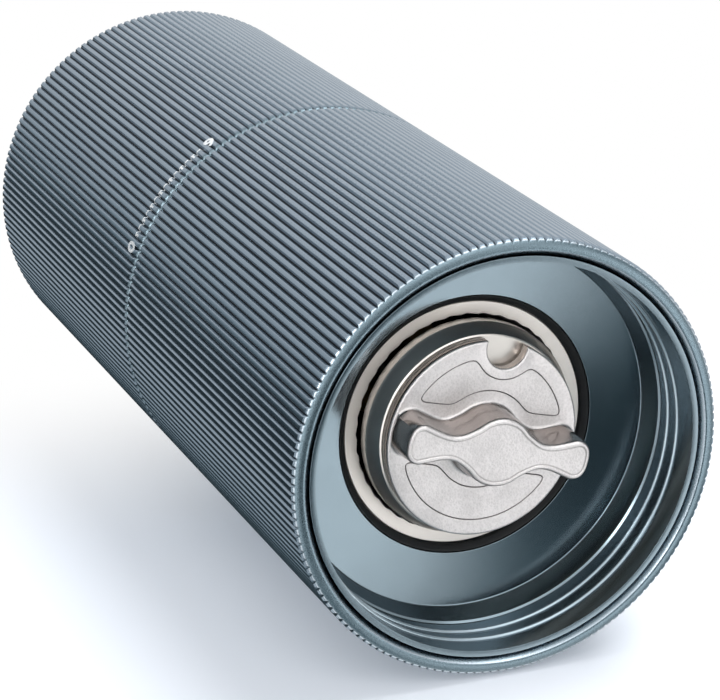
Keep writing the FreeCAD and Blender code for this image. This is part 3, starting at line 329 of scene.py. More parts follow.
# Maker of each finish, its colour as a hex value or the settings that hold it, and the maker's other values
FINISHES = {
    "anodised_sleeve": (ribbed_metal, "grinder_sleeves", 0.29),
    "anodised_barrel": (turned_metal, "grinder_skirt", 0.17, 0.09, 0.0012, 0.55),
    # The thread ridge is a lighter copy of the barrel's anodising, a painted highlight for its bright lines
    "anodised_thread": (turned_metal, "#939fa6", 0.2, 0.09, 0.0012),
    "anodised_crank": (blasted_metal, "grinder_sleeves", 0.34, 0.2, 0.01),
    "ground_burr_steel": (turned_metal, "#e2dcd6", 0.5, 0.07, 0.003),
    "polished_burr_steel": (turned_metal, "grinder_burrs", 0.34, 0.05, 0.001),
    # Burr steel painted near black as the shade in the deep gap round the fine teeth and blades
    "milled_burr_steel": (blasted_metal, "#383736", 0.45, 0.2, 0.01),
    "cast_steel": (cast_metal, "grinder_knob"),
    "ground_shaft_steel": (turned_metal, "#a3a5a8", 0.22, 0.08, 0.002),
    "blackened_spring_steel": (blasted_metal, "#3c3d40", 0.38, 0.2, 0.004),
    "black_nylon": (moulded, "#17191b", 0.48, 0.35, 0.01),
    "smoked_hopper_plastic": (moulded, "#2b3034", 0.22, 0.8, 0.004),
    "sintered_bronze": (blasted_metal, "#6f5836", 0.42, 0.15, 0.01),
    "black_rubber": (moulded, "#1b1b1c", 0.62, 0.3, 0.015),
    "oiled_walnut": (turned_walnut, "grinder_crank"),
    "etched_scale": (etched, "grinder_dial"),
}
MADE_FINISHES = {}


def finish(name):
    """A finish by name, made the first time it is asked for."""
    if name not in MADE_FINISHES:
        maker, source, *values = FINISHES[name]
        colour = linear(source) if source[0] == "#" else getattr(bpy.context.scene, source).colour
        MADE_FINISHES[name] = maker(name, colour, *values)
    return MADE_FINISHES[name]


def placed(name, data):
    """A new object at the origin, in the scene."""
    made = bpy.data.objects.new(name, data)
    bpy.context.scene.collection.objects.link(made)
    return made


def mended(mesh, merge=0.0, sliver=0.0):
    """Merges points that are closer than merge, drops slivers, and turns the faces outwards."""
    shaped = bmesh.new()
    shaped.from_mesh(mesh)
    if merge:
        bmesh.ops.remove_doubles(shaped, verts=shaped.verts, dist=merge)
    if sliver:
        bmesh.ops.dissolve_degenerate(shaped, edges=shaped.edges, dist=sliver)
    bmesh.ops.recalc_face_normals(shaped, faces=shaped.faces)
    shaped.to_mesh(mesh)
    shaped.free()


def clad(mesh, material):
    """Gives a mesh one material."""
    mesh.materials.clear()
    mesh.materials.append(material)


def smooth(mesh, sharp):
    """Smooth shading with hard edges above an angle in degrees."""
    mesh.polygons.foreach_set("use_smooth", [True] * len(mesh.polygons))
    mesh.set_sharp_from_angle(angle=math.radians(sharp))


def marked(mesh, name, values):
    """Writes a share for each point of a mesh, which its material reads."""
    mesh.attributes.new(name, "FLOAT", "POINT").data.foreach_set("value", values)


def baked(made):
    """The mesh that an object's modifiers or its text give."""
    bpy.context.view_layer.update()
    graph = bpy.context.evaluated_depsgraph_get()
    return bpy.data.meshes.new_from_object(made.evaluated_get(graph), depsgraph=graph)


# Angle between faces, in degrees, above which an edge shows as hard
HARD = 35.0


def piece(name, points, faces, material, sharp=HARD, merge=0.0, sliver=0.0):
    """A mesh object at the origin from points in millimetres, with its faces pointing outwards."""
    mesh = bpy.data.meshes.new(name)
    mesh.from_pydata([tuple(float(part) * MM for part in point) for point in points], [], faces)
    mended(mesh, merge, sliver)
    clad(mesh, material)
    smooth(mesh, sharp)
    return placed(name, mesh)


def stand_for(made, body, slot, *nodes):
    """The piece moves with a body and takes the place of these solids."""
    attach(made, body)
    if nodes:
        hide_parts(*nodes)


def rounded(corners, radius):
    """A closed (radius, height) outline with its corners rounded; a third entry overrides the radius."""
    steps = 4
    points = []
    for index, corner in enumerate(corners):
        here = Vector(corner[:2])
        before = Vector(corners[index - 1][:2]) - here
        after = Vector(corners[(index + 1) % len(corners)][:2]) - here
        wanted = corner[2] if len(corner) > 2 else radius
        angle = before.angle(after)
        length = wanted / math.tan(angle / 2) if angle > 1e-3 else 0.0
        length = min(length, before.length * 0.45, after.length * 0.45)
        if wanted <= 0 or math.degrees(angle) > 176 or here.x < 1e-6:
            points.append(tuple(here))
            continue
        start, end = here + before.normalized() * length, here + after.normalized() * length
        for step in range(steps + 1):
            share = step / steps
            bend = start * (1 - share) ** 2 + here * 2 * share * (1 - share) + end * share ** 2
            points.append(tuple(bend))
    return points


def turned(name, outline, material, segments=192, centre=(0.0, 0.0), shape=None, sharp=HARD):
    """A closed outline turned round an upright line; shape may change a point's radius by its angle."""
    points = []
    for index, (radius, height) in enumerate(outline):
        for step in range(segments):
            angle = 2 * math.pi * step / segments
            wide = shape(index, radius, angle) if shape else radius
            points.append((centre[0] + wide * math.cos(angle), centre[1] + wide * math.sin(angle), height))
    count = len(outline)
    faces = []
    for index in range(count):
        following = (index + 1) % count
        if outline[index][0] < 1e-6 and outline[following][0] < 1e-6:
            continue
        for step in range(segments):
            turn = (step + 1) % segments
            faces.append((index * segments + step, index * segments + turn,
                          following * segments + turn, following * segments + step))
    return piece(name, points, faces, material, sharp, merge=1e-7, sliver=1e-8)


def new_tree(name, inputs):
    """A geometry node tree with these inputs, each a name and a kind, and the sockets that they give inside."""
    tree = bpy.data.node_groups.new(name, "GeometryNodeTree")
    for label, kind in inputs:
        tree.interface.new_socket(label, in_out="INPUT", socket_type="NodeSocket" + kind)
    tree.interface.new_socket("Geometry", in_out="OUTPUT", socket_type="NodeSocketGeometry")
    return tree, add(tree, "NodeGroupInput").outputs


def ring_tree():
    """A node tree that repeats its own geometry round the shaft and joins the copies."""
    name = "repeat_round_shaft"
    if name in bpy.data.node_groups:
        return bpy.data.node_groups[name]
    tree, given = new_tree(name, (
        ("Geometry", "Geometry"), ("Count", "Int"), ("First angle", "Float"), ("Step angle", "Float"),
        ("Material", "Material")))
    index = add(tree, "GeometryNodeInputIndex")
    angle = add(tree, "ShaderNodeMath", {
        0: index, 1: given["Step angle"], 2: given["First angle"]}, operation="MULTIPLY_ADD")
    euler = add(tree, "ShaderNodeCombineXYZ", {"Z": angle})
    turn = add(tree, "FunctionNodeEulerToRotation", {"Euler": euler})
    spots = add(tree, "GeometryNodePoints", {"Count": given["Count"]})
    copies = add(tree, "GeometryNodeInstanceOnPoints", {
        "Points": spots, "Instance": given["Geometry"], "Rotation": turn})
    real = add(tree, "GeometryNodeRealizeInstances", {"Geometry": copies})
    joined = add(tree, "GeometryNodeMergeByDistance", {"Geometry": real, "Distance": 1e-6})
    dressed = add(tree, "GeometryNodeSetMaterial", {"Geometry": joined, "Material": given["Material"]})
    add(tree, "NodeGroupOutput", {"Geometry": dressed})
    return tree


def settled(made, tree, values, sharp):
    """Runs a node tree on an object and keeps the result as a plain mesh."""
    modifier = made.modifiers.new(tree.name, "NODES")
    modifier.node_group = tree
    for item in tree.interface.items_tree:
        if item.item_type == "SOCKET" and item.in_out == "INPUT" and item.name in values:
            modifier[item.identifier] = values[item.name]
    mesh = baked(made)
    made.modifiers.clear()
    old = made.data
    made.data = mesh
    bpy.data.meshes.remove(old)
    mended(mesh)
    clad(mesh, values["Material"])
    smooth(mesh, sharp)
    return made


def repeated(made, count, material, first=0.0, step=None, sharp=HARD):
    """Copies a piece round the shaft with the ring tree."""
    apart = 2 * math.pi / count if step is None else step
    values = {"Count": count, "First angle": first, "Step angle": apart, "Material": material}
    return settled(made, ring_tree(), values, sharp)


def sector(name, outline, columns, radius_at, material, twist=0.0):
    """One slice of a ring: a closed (radius, height) outline swept over the angles in columns, which also
    give the value by which radius_at changes a point's radius."""
    points, cut = [], []
    low = min(height for _, height in outline)
    for angle, deep in columns:
        for radius, height in outline:
            wide = radius_at(radius, height, deep)
            place = angle + twist * (height - low)
            points.append((wide * math.cos(place), wide * math.sin(place), height))
            cut.append(abs(radius - wide))
    count = len(outline)
    faces = []
    for column in range(len(columns) - 1):
        for index in range(count):
            following = (index + 1) % count
            faces.append((column * count + index, (column + 1) * count + index,
                          (column + 1) * count + following, column * count + following))
    made = piece(name, points, faces, material)
    marked(made.data, "groove", np.array(cut) / max(max(cut), 1e-9))
    return made


def edged(made, crest, chamfer, rim, seam):
    """Marks a sleeve's edges beyond two heights: fully on the rib ends round its rim, well inside the chamfer's
    radius, which the material pales as part wear and part painted highlight, and a little on the rim's face and
    on the bevel at the seam, grooves and all, which it turns darker and greyer."""
    rib_end, chamfered, bevelled, groove_share = 1.0, 0.75, 0.38, 0.4
    values = []
    side = 1 if seam > rim else -1
    for vertex, cut in zip(made.data.vertices, made.data.attributes["groove"].data):
        level, out = vertex.co.z / MM, vertex.co.xy.length / MM
        if (level - seam) * side > 0:
            values.append(bevelled)
        elif (rim - level) * side > 0 and cut.value < groove_share:
            values.append(rib_end if out > crest - 0.3 else chamfered if out < chamfer else RIM_FACE)
        else:
            values.append(0.0)
    marked(made.data, "edge", values)


# Half a rib from its crest to the middle of the groove: share of the pitch, share of the depth
RIB_SHAPE = [(0.0, 0.0), (0.2, 0.0), (0.24, 0.02), (0.27, 0.1), (0.46, 0.88), (0.485, 0.97), (0.5, 1.0)]
# Length of wall beside a rounding that keeps the long wall's shading straight
HOLD = 0.3


def rib_columns(sizes):
    """A rib with half a groove on each side: angles, and depths under the crest in millimetres."""
    pitch, depth = 2 * math.pi / sizes.rib_count, sizes.rib_depth / MM
    half = [(share * pitch, depth * deep) for share, deep in RIB_SHAPE]
    return [(-angle, deep) for angle, deep in half[:0:-1]] + half


def ribbed(name, outline, crest, ends, sizes):
    """A sleeve of ribs: one rib with half a groove on each side, repeated round the shaft."""
    material = finish("anodised_sleeve")
    one = sector(
        name, outline, rib_columns(sizes), lambda radius, height, deep: min(radius, crest - deep), material)
    edged(one, crest, *ends)
    return repeated(one, sizes.rib_count, material, sharp=50.0)


def domed(inside, outside, rise):
    """Points of a flattened arc over a rim, from its inner edge at no height to its outer edge."""
    steps = 10
    angles = [math.pi / 2 * step / steps for step in range(steps + 1)]
    return [(inside + (outside - inside) * math.sin(angle), rise * (1 - math.cos(angle))) for angle in angles]


class GRINDER_OT_sleeves(bpy.types.Operator):
    """Builds the two ribbed sleeves"""
    bl_idname = "grinder.sleeves"
    bl_label = "Ribbed sleeves"

    def execute(self, context):
        sizes = context.scene.grinder_sleeves
        rim, bevel = sizes.rim_round / MM, sizes.bevel / MM
        crest, top = reach("lower_sleeve"), heights("lower_sleeve")[1]
        # The bevel at the seam: distances in from the crest and back from the sleeve's end
        seam = [(0.0, bevel + HOLD), (0.0, bevel), (bevel * 0.35, bevel * 0.4), (bevel, 0.0)]

        bore, lip, lip_foot = crest - 2.05, crest - 2.95, top - 7.0
        outline = [(bore, 0.6), (bore + 0.5, 0.05)] + domed(bore + 0.56, crest, rim) + [(crest, rim + HOLD)]
        outline += [(crest - away, top - drop) for away, drop in seam]
        outline += [(lip, top), (lip, lip_foot), (bore, lip_foot)]
        ends = (bore + 0.52, rim * 0.5, top - bevel * 0.5)
        lower = ribbed("lower_sleeve_ribs", outline, crest, ends, sizes)
        stand_for(lower, "housing", "anodised_slate", "lower_sleeve")

        foot, head = heights("upper_sleeve")
        skirt, mouth, land = crest - 2.7, crest - 2.1, crest - 5.7
        land_foot, land_top = foot + 10.6, head - 3.0
        outline = [(skirt, foot)] + [(crest - away, foot + rise) for away, rise in seam[::-1]]
        outline += [(crest, head - rim - HOLD)]
        outline += [(wide, head - drop) for wide, drop in domed(mouth + 0.1, crest, rim)[::-1]]
        outline += [(mouth, head - 0.1), (mouth, land_top), (land, land_top), (land, land_foot),
                    (skirt, land_foot)]
        ends = (0.0, head - rim * 0.5, foot + bevel * 0.5)
        upper = ribbed("upper_sleeve_ribs", outline, crest, ends, sizes)
        stand_for(upper, "dial", "anodised_slate", "upper_sleeve")
        return {"FINISHED"}


def thread_tree():
    """A node tree that sweeps a ridge along a helix and tapers it out at both ends."""
    sizes = ("Turns", "Radius", "Height", "Foot", "Base half", "Crest half", "Ridge")
    tree, given = new_tree("thread_ridge", [
        ("Geometry", "Geometry"), *((name, "Float") for name in sizes), ("Material", "Material")])
    helix = add(tree, "GeometryNodeCurveSpiral", {
        "Resolution": 110, "Rotations": given["Turns"], "Start Radius": given["Radius"],
        "End Radius": given["Radius"], "Height": given["Height"]})
    upright = add(tree, "GeometryNodeSetCurveNormal", {"Curve": helix}, mode="Z_UP")
    lift = add(tree, "ShaderNodeCombineXYZ", {"Z": given["Foot"]})
    raised = add(tree, "GeometryNodeSetPosition", {"Geometry": upright, "Offset": lift})
    corners = []
    for name, out in (("Base half", 0.0), ("Crest half", 1.0)):
        depth = add(tree, "ShaderNodeMath", {0: given["Ridge"], 1: out}, operation="MULTIPLY")
        for sign in (1.0, -1.0):
            across = add(tree, "ShaderNodeMath", {0: given[name], 1: sign}, operation="MULTIPLY")
            corners.append(add(tree, "ShaderNodeCombineXYZ", {"X": depth, "Y": across}))
    section = add(tree, "GeometryNodeCurvePrimitiveQuadrilateral", {
        "Point 1": corners[0], "Point 2": corners[2], "Point 3": corners[3], "Point 4": corners[1]},
        mode="POINTS")
    soft = add(tree, "GeometryNodeFilletCurve", {
        "Curve": section, "Radius": 0.1 * MM, "Count": 3}, mode="POLY")
    along = add(tree, "GeometryNodeSplineParameter")
    middle = add(tree, "ShaderNodeMath", {0: along, 1: 0.5}, operation="SUBTRACT")
    away = add(tree, "ShaderNodeMath", {0: middle}, operation="ABSOLUTE")
    taper = add(tree, "ShaderNodeMapRange", {
        "Value": away, "From Min": 0.5, "From Max": 0.43, "To Min": 0.02, "To Max": 1.0})
    ridge = add(tree, "GeometryNodeCurveToMesh", {
        "Curve": raised, "Profile Curve": soft, "Scale": taper, "Fill Caps": True})
    real = add(tree, "GeometryNodeRealizeInstances", {"Geometry": ridge})
    dressed = add(tree, "GeometryNodeSetMaterial", {"Geometry": real, "Material": given["Material"]})
    add(tree, "NodeGroupOutput", {"Geometry": dressed})
    return tree


class GRINDER_OT_barrel(bpy.types.Operator):
    """Builds the barrel with its dished floor, the cup thread and the ring round the burr"""
    bl_idname = "grinder.barrel"
    bl_label = "Barrel and cup thread"

    def execute(self, context):
        sizes = context.scene.grinder_skirt
        foot, head = heights("burr_barrel")
        ring_foot, ring_top = heights("burr_retaining_ring")
        burr_top = heights("ring_burr")[1]
        # Radii from the outside in; the cup thread's root and the spigot in the dial are alike
        out = reach("burr_barrel")
        root, band, hopper = out - 0.75, out - 1.75, out - 3.7
        seal_root, funnel, ring_seat, burr_seat, throat = root - 1.35, 17.8, 16.35, 15.95, 12.6
        # Heights from the foot up
        step, funnel_top, shoulder, seal_foot, seal_top = foot + 8.8, 42.0, 55.3, 65.8, 67.4
        outline = rounded([
            (root, foot, 0.05), (out, foot, 0.08), (out, shoulder), (root, shoulder), (root, seal_foot),
            (seal_root, seal_foot), (seal_root, seal_top), (root, seal_top), (root, head), (hopper, head),
            (hopper, funnel_top), (funnel, funnel_top), (throat, burr_top + 2.5), (throat, burr_top),
            (burr_seat, burr_top), (burr_seat, ring_top), (ring_seat, ring_top), (ring_seat, ring_foot, 0.1),
            (band, ring_foot - 0.7, 0.22), (root - 0.25, step - 0.3, 0.04), (root, step - 0.5, 0.05)], 0.15)
        barrel = turned("burr_barrel_turned", outline, finish("anodised_barrel"), segments=256)
        stand_for(barrel, "housing", "anodised_slate", "burr_barrel")

        start = placed("cup_thread_ridge", bpy.data.meshes.new("cup_thread_ridge"))
        sunk = 0.06
        # The ridge takes the lighter copy of the barrel's anodising, a painted highlight
        values = {
            "Turns": sizes.turns, "Radius": (root + sunk) * MM, "Height": sizes.turns * sizes.pitch,
            "Foot": (foot + 1.75) * MM, "Base half": 0.34 * MM, "Crest half": 0.12 * MM,
            "Ridge": sizes.ridge + sunk * MM, "Material": finish("anodised_thread")}
        ridge = settled(start, thread_tree(), values, 50.0)
        stand_for(ridge, "housing", "anodised_slate")

        inside, outside = 15.4, 16.28
        outline = rounded([
            (inside, ring_foot + 0.9, 0.1), (inside + 0.12, ring_foot + 0.62), (outside, ring_foot, 0.12),
            (outside, ring_top), (inside, ring_top)], 0.08)
        ring = turned("burr_ring_nylon", outline, finish("black_nylon"))
        stand_for(ring, "housing", "black_nylon", "burr_retaining_ring")
        return {"FINISHED"}


# One tooth of each kind: share of the pitch, share of the depth
RING_TOOTH = [(0.0, 0.0), (0.06, 0.08), (0.2, 0.62), (0.34, 1.0), (0.42, 1.0), (0.7, 0.45), (0.93, 0.05),
              (1.0, 0.0)]
FINE_TOOTH = [(0.0, 0.0), (0.12, 0.3), (0.35, 1.0), (0.45, 1.0), (1.0, 0.0)]
BLADE = [(0.0, 0.0), (0.03, 0.02), (0.12, 0.5), (0.22, 0.9), (0.3, 1.0), (0.45, 0.85), (0.65, 0.5),
         (0.85, 0.16), (1.0, 0.0)]


def toothed(name, outline, tooth, count, radius_at, material, twist):
    """A ring of teeth from the outline of one, its tooth shape and its twist in radians a millimetre."""
    pitch = 2 * math.pi / count
    columns = [(share * pitch, deep) for share, deep in tooth]
    return repeated(sector(name, outline, columns, radius_at, material, twist), count, material, sharp=40.0)


class GRINDER_OT_burrs(bpy.types.Operator):
    """Builds the toothed ring burr and the conical inner burr"""
    bl_idname = "grinder.burrs"
    bl_label = "Burr set"

    def execute(self, context):
        sizes = context.scene.grinder_burrs
        self.ring(sizes)
        self.cone(sizes)
        return {"FINISHED"}

    def ring(self, sizes):
        """The ring burr: a plain lip below, and saw teeth that lean and narrow upwards."""
        low, top = heights("ring_burr")
        shoulder = heights("burr_retaining_ring")[1]
        low = max(low, shoulder - 0.6)
        exit_tip, entry_tip, lip, body, plain = 13.55, 11.9, 15.34, 15.9, 15.0
        levels = np.concatenate([[low + 0.75], np.linspace(low + 1.5, top, 6)])
        inner = [(exit_tip + (entry_tip - exit_tip) * (level - low) / (top - low), level) for level in levels]
        outline = [(body, shoulder), (lip, shoulder), (lip, low + 0.08), (lip - 0.08, low)]
        outline += [(14.5, low + 0.05), (exit_tip + 0.12, low + 0.16)] + inner + [(body, top)]
        # The teeth run out towards the lip
        deep_at = {round(height, 5): sizes.tooth_depth / MM for _, height in inner}
        deep_at[round(inner[0][1], 5)] = 0.22
        deep_at[round(low + 0.16, 5)] = 0.14

        def radius_at(radius, height, share):
            return radius if radius > plain else radius + deep_at.get(round(height, 5), 0.0) * share

        made = toothed("ring_burr_teeth", outline, RING_TOOTH, sizes.ring_teeth, radius_at,
                       finish("ground_burr_steel"), -math.radians(18) / (top - low))
        stand_for(made, "housing", "burr_steel", "ring_burr")

    def cone(self, sizes):
        """The inner burr: a polished collar, a band of fine teeth, and twisted breaking blades above."""
        base, top = heights("inner_burr")
        bore, core, wide, tip, rim = 4.06, 4.1, 13.05, 5.4, 13.35
        collar, foot, fine_band, sunk = base + 2.2, base + 3.95, 5.0, 0.02
        depth = sizes.tooth_depth / MM
        outline = rounded([
            (bore, base), (12.25, base), (12.45, base + 0.12, 0.1), (rim - 0.13, collar - 0.12, 0.12),
            (rim, collar + 0.1, 0.1), (rim, foot - depth / 2), (13.0, foot), (bore, foot)], 0.05)
        collar_piece = turned("inner_burr_collar", outline, finish("polished_burr_steel"), segments=256)
        stand_for(collar_piece, "rotor", "burr_steel", "inner_burr")

        # The fine teeth and blades sit in shade, which their near-black steel paints
        shade_dark_steel = finish("milled_burr_steel")
        fine_top = foot + fine_band
        slope = (tip - wide) / (top - foot)
        levels = np.linspace(foot - sunk, fine_top, 4)
        wall = [(wide + slope * (level - foot), level) for level in levels]
        outline = [(bore, levels[0])] + wall + [(bore, levels[-1])]
        made = toothed("inner_burr_fine_teeth", outline, FINE_TOOTH, sizes.fine_teeth,
                       lambda radius, height, deep: radius - depth * deep if radius > core else radius,
                       shade_dark_steel, math.radians(18) / fine_band)
        stand_for(made, "rotor", "burr_steel")

        start = wide + slope * fine_band - depth
        levels = np.linspace(fine_top - sunk, top, 9)
        shares = [(level - levels[0]) / (levels[-1] - levels[0]) for level in levels]
        wall = [(start + share * (tip - start), level) for share, level in zip(shares, levels)]
        outline = [(bore, levels[0])] + wall + [(bore, levels[-1])]
        hollow = {round(level, 5): 2.2 * (0.4 + 0.3 * math.sin(math.pi * share))
                  for share, level in zip(shares, levels)}

        def radius_at(radius, height, deep):
            return max(radius - hollow[round(height, 5)] * deep, core) if radius > core else radius

        made = toothed("inner_burr_blades", outline, BLADE, sizes.blades, radius_at, shade_dark_steel,
                       math.radians(55) / (levels[-1] - levels[0]))
        stand_for(made, "rotor", "burr_steel")


def evened(points, spacing):
    """A closed loop with its points set at an even spacing."""
    closed = np.vstack([points, points[:1]])
    lengths = np.concatenate([[0], np.cumsum(np.linalg.norm(np.diff(closed, axis=0), axis=1))])
    count = max(int(round(lengths[-1] / spacing)), 8)
    places = np.linspace(0, lengths[-1], count, endpoint=False)
    return np.column_stack([np.interp(places, lengths, closed[:, axis]) for axis in (0, 1)])


def softened(points, passes):
    """A closed loop with its corners worn round."""
    for _ in range(passes):
        points = points * 0.5 + (np.roll(points, 1, axis=0) + np.roll(points, -1, axis=0)) * 0.25
    return points


def inset(points, distance):
    """A closed anticlockwise loop moved inwards."""
    along = np.roll(points, -1, axis=0) - np.roll(points, 1, axis=0)
    along = along / np.linalg.norm(along, axis=1)[:, None]
    return points + np.column_stack([-along[:, 1], along[:, 0]]) * distance


def within(points, loop):
    """Which points lie inside a closed loop."""
    inside = np.zeros(len(points), bool)
    for (x1, y1), (x2, y2) in zip(loop, np.roll(loop, -1, axis=0)):
        crosses = (y1 > points[:, 1]) != (y2 > points[:, 1])
        if crosses.any():
            place = x1 + (points[:, 1] - y1) / (y2 - y1 + 1e-30) * (x2 - x1)
            inside ^= crosses & (points[:, 0] < place)
    return inside


def arc(centre, radius, start, end, count):
    """Points of a flat arc, angles in radians."""
    angles = np.linspace(start, end, count)
    return np.column_stack([centre[0] + radius * np.cos(angles), centre[1] + radius * np.sin(angles)])


class Shell:
    """Collects loops and flat fills of one piece; heights rise along +Z."""

    def __init__(self):
        self.points, self.faces, self.flank, self.engraved = [], [], [], []

    def loop(self, flat, height, flank=0.0, engraved=0.0):
        """Adds the points of a loop and gives their numbers."""
        first = len(self.points)
        self.points += [(x, y, height) for x, y in flat]
        self.flank += [flank] * len(flat)
        self.engraved += [engraved] * len(flat)
        return list(range(first, first + len(flat)))

    def stack(self, rows):
        """Adds loops, each a row of what loop takes, with walls between them, and gives their numbers."""
        loops = [self.loop(*row) for row in rows]
        for lower, upper in zip(loops, loops[1:]):
            for index in range(len(lower)):
                turn = (index + 1) % len(lower)
                self.faces.append((lower[index], lower[turn], upper[turn], upper[index]))
        return loops

    def fill(self, loops, outside, *holes):
        """Adds a flat fill between loops, each (points, height, engraved share), that lies inside one loop and
        outside the holes."""
        flat = np.vstack([points for points, _, _ in loops])
        height = np.concatenate([np.full(len(points), level) for points, level, _ in loops])
        mark = np.concatenate([np.full(len(points), share) for points, _, share in loops])
        edges, first = [], 0
        for points, _, _ in loops:
            count = len(points)
            edges += [(first + index, first + (index + 1) % count) for index in range(count)]
            first += count
        spots, _, triangles, origins, _, _ = delaunay_2d_cdt(
            [Vector(point) for point in flat], edges, [], 0, 1e-7)
        spots = np.array(spots)
        middles = spots[np.array(triangles)].mean(axis=1)
        base = len(self.points)
        for spot, origin in zip(spots, origins):
            self.points.append((spot[0], spot[1], height[origin[0]] if origin else float(np.median(height))))
            self.engraved.append(mark[origin[0]] if origin else 0.0)
            self.flank.append(0.0)
        kept = within(middles, outside)
        for hole in holes:
            kept &= ~within(middles, hole)
        for number in np.flatnonzero(kept):
            self.faces.append(tuple(base + corner for corner in triangles[number]))

    def made(self, name, material):
        """The piece, with its doubled points merged and its marks for the material."""
        sharp = 40.0
        result = piece(name, self.points, self.faces, material, sharp)
        marked(result.data, "flank", self.flank)
        marked(result.data, "engraved", self.engraved)
        mended(result.data, 2e-7)
        smooth(result.data, sharp)
        return result


def wing_loop(lobe, waist, end, length):
    """The dog-bone outline of the wing along X: half widths of lobe, waist and end, and half its length."""
    nose = 2.2
    side = [(0.0, lobe), (lobe * 0.3, lobe * 0.95), (lobe * 0.55, lobe * 0.83), (lobe * 0.76, lobe * 0.64),
            (4.4, 2.28), (5.2, waist + 0.12), (6.0, waist), (7.0, waist + 0.12), (8.6, end - 0.35)]
    for step in range(13):
        angle = math.pi / 2 * step / 12
        side.append((length - nose + nose * math.sin(angle) ** 0.8, end * math.cos(angle) ** 0.8))
    side = np.array(side)
    left = side[::-1][:-1] * [-1, 1]
    top = np.vstack([side[::-1], left[::-1]])
    bottom = top[::-1][1:-1] * [1, -1]
    return softened(evened(np.vstack([top, bottom]), 0.1), 12)


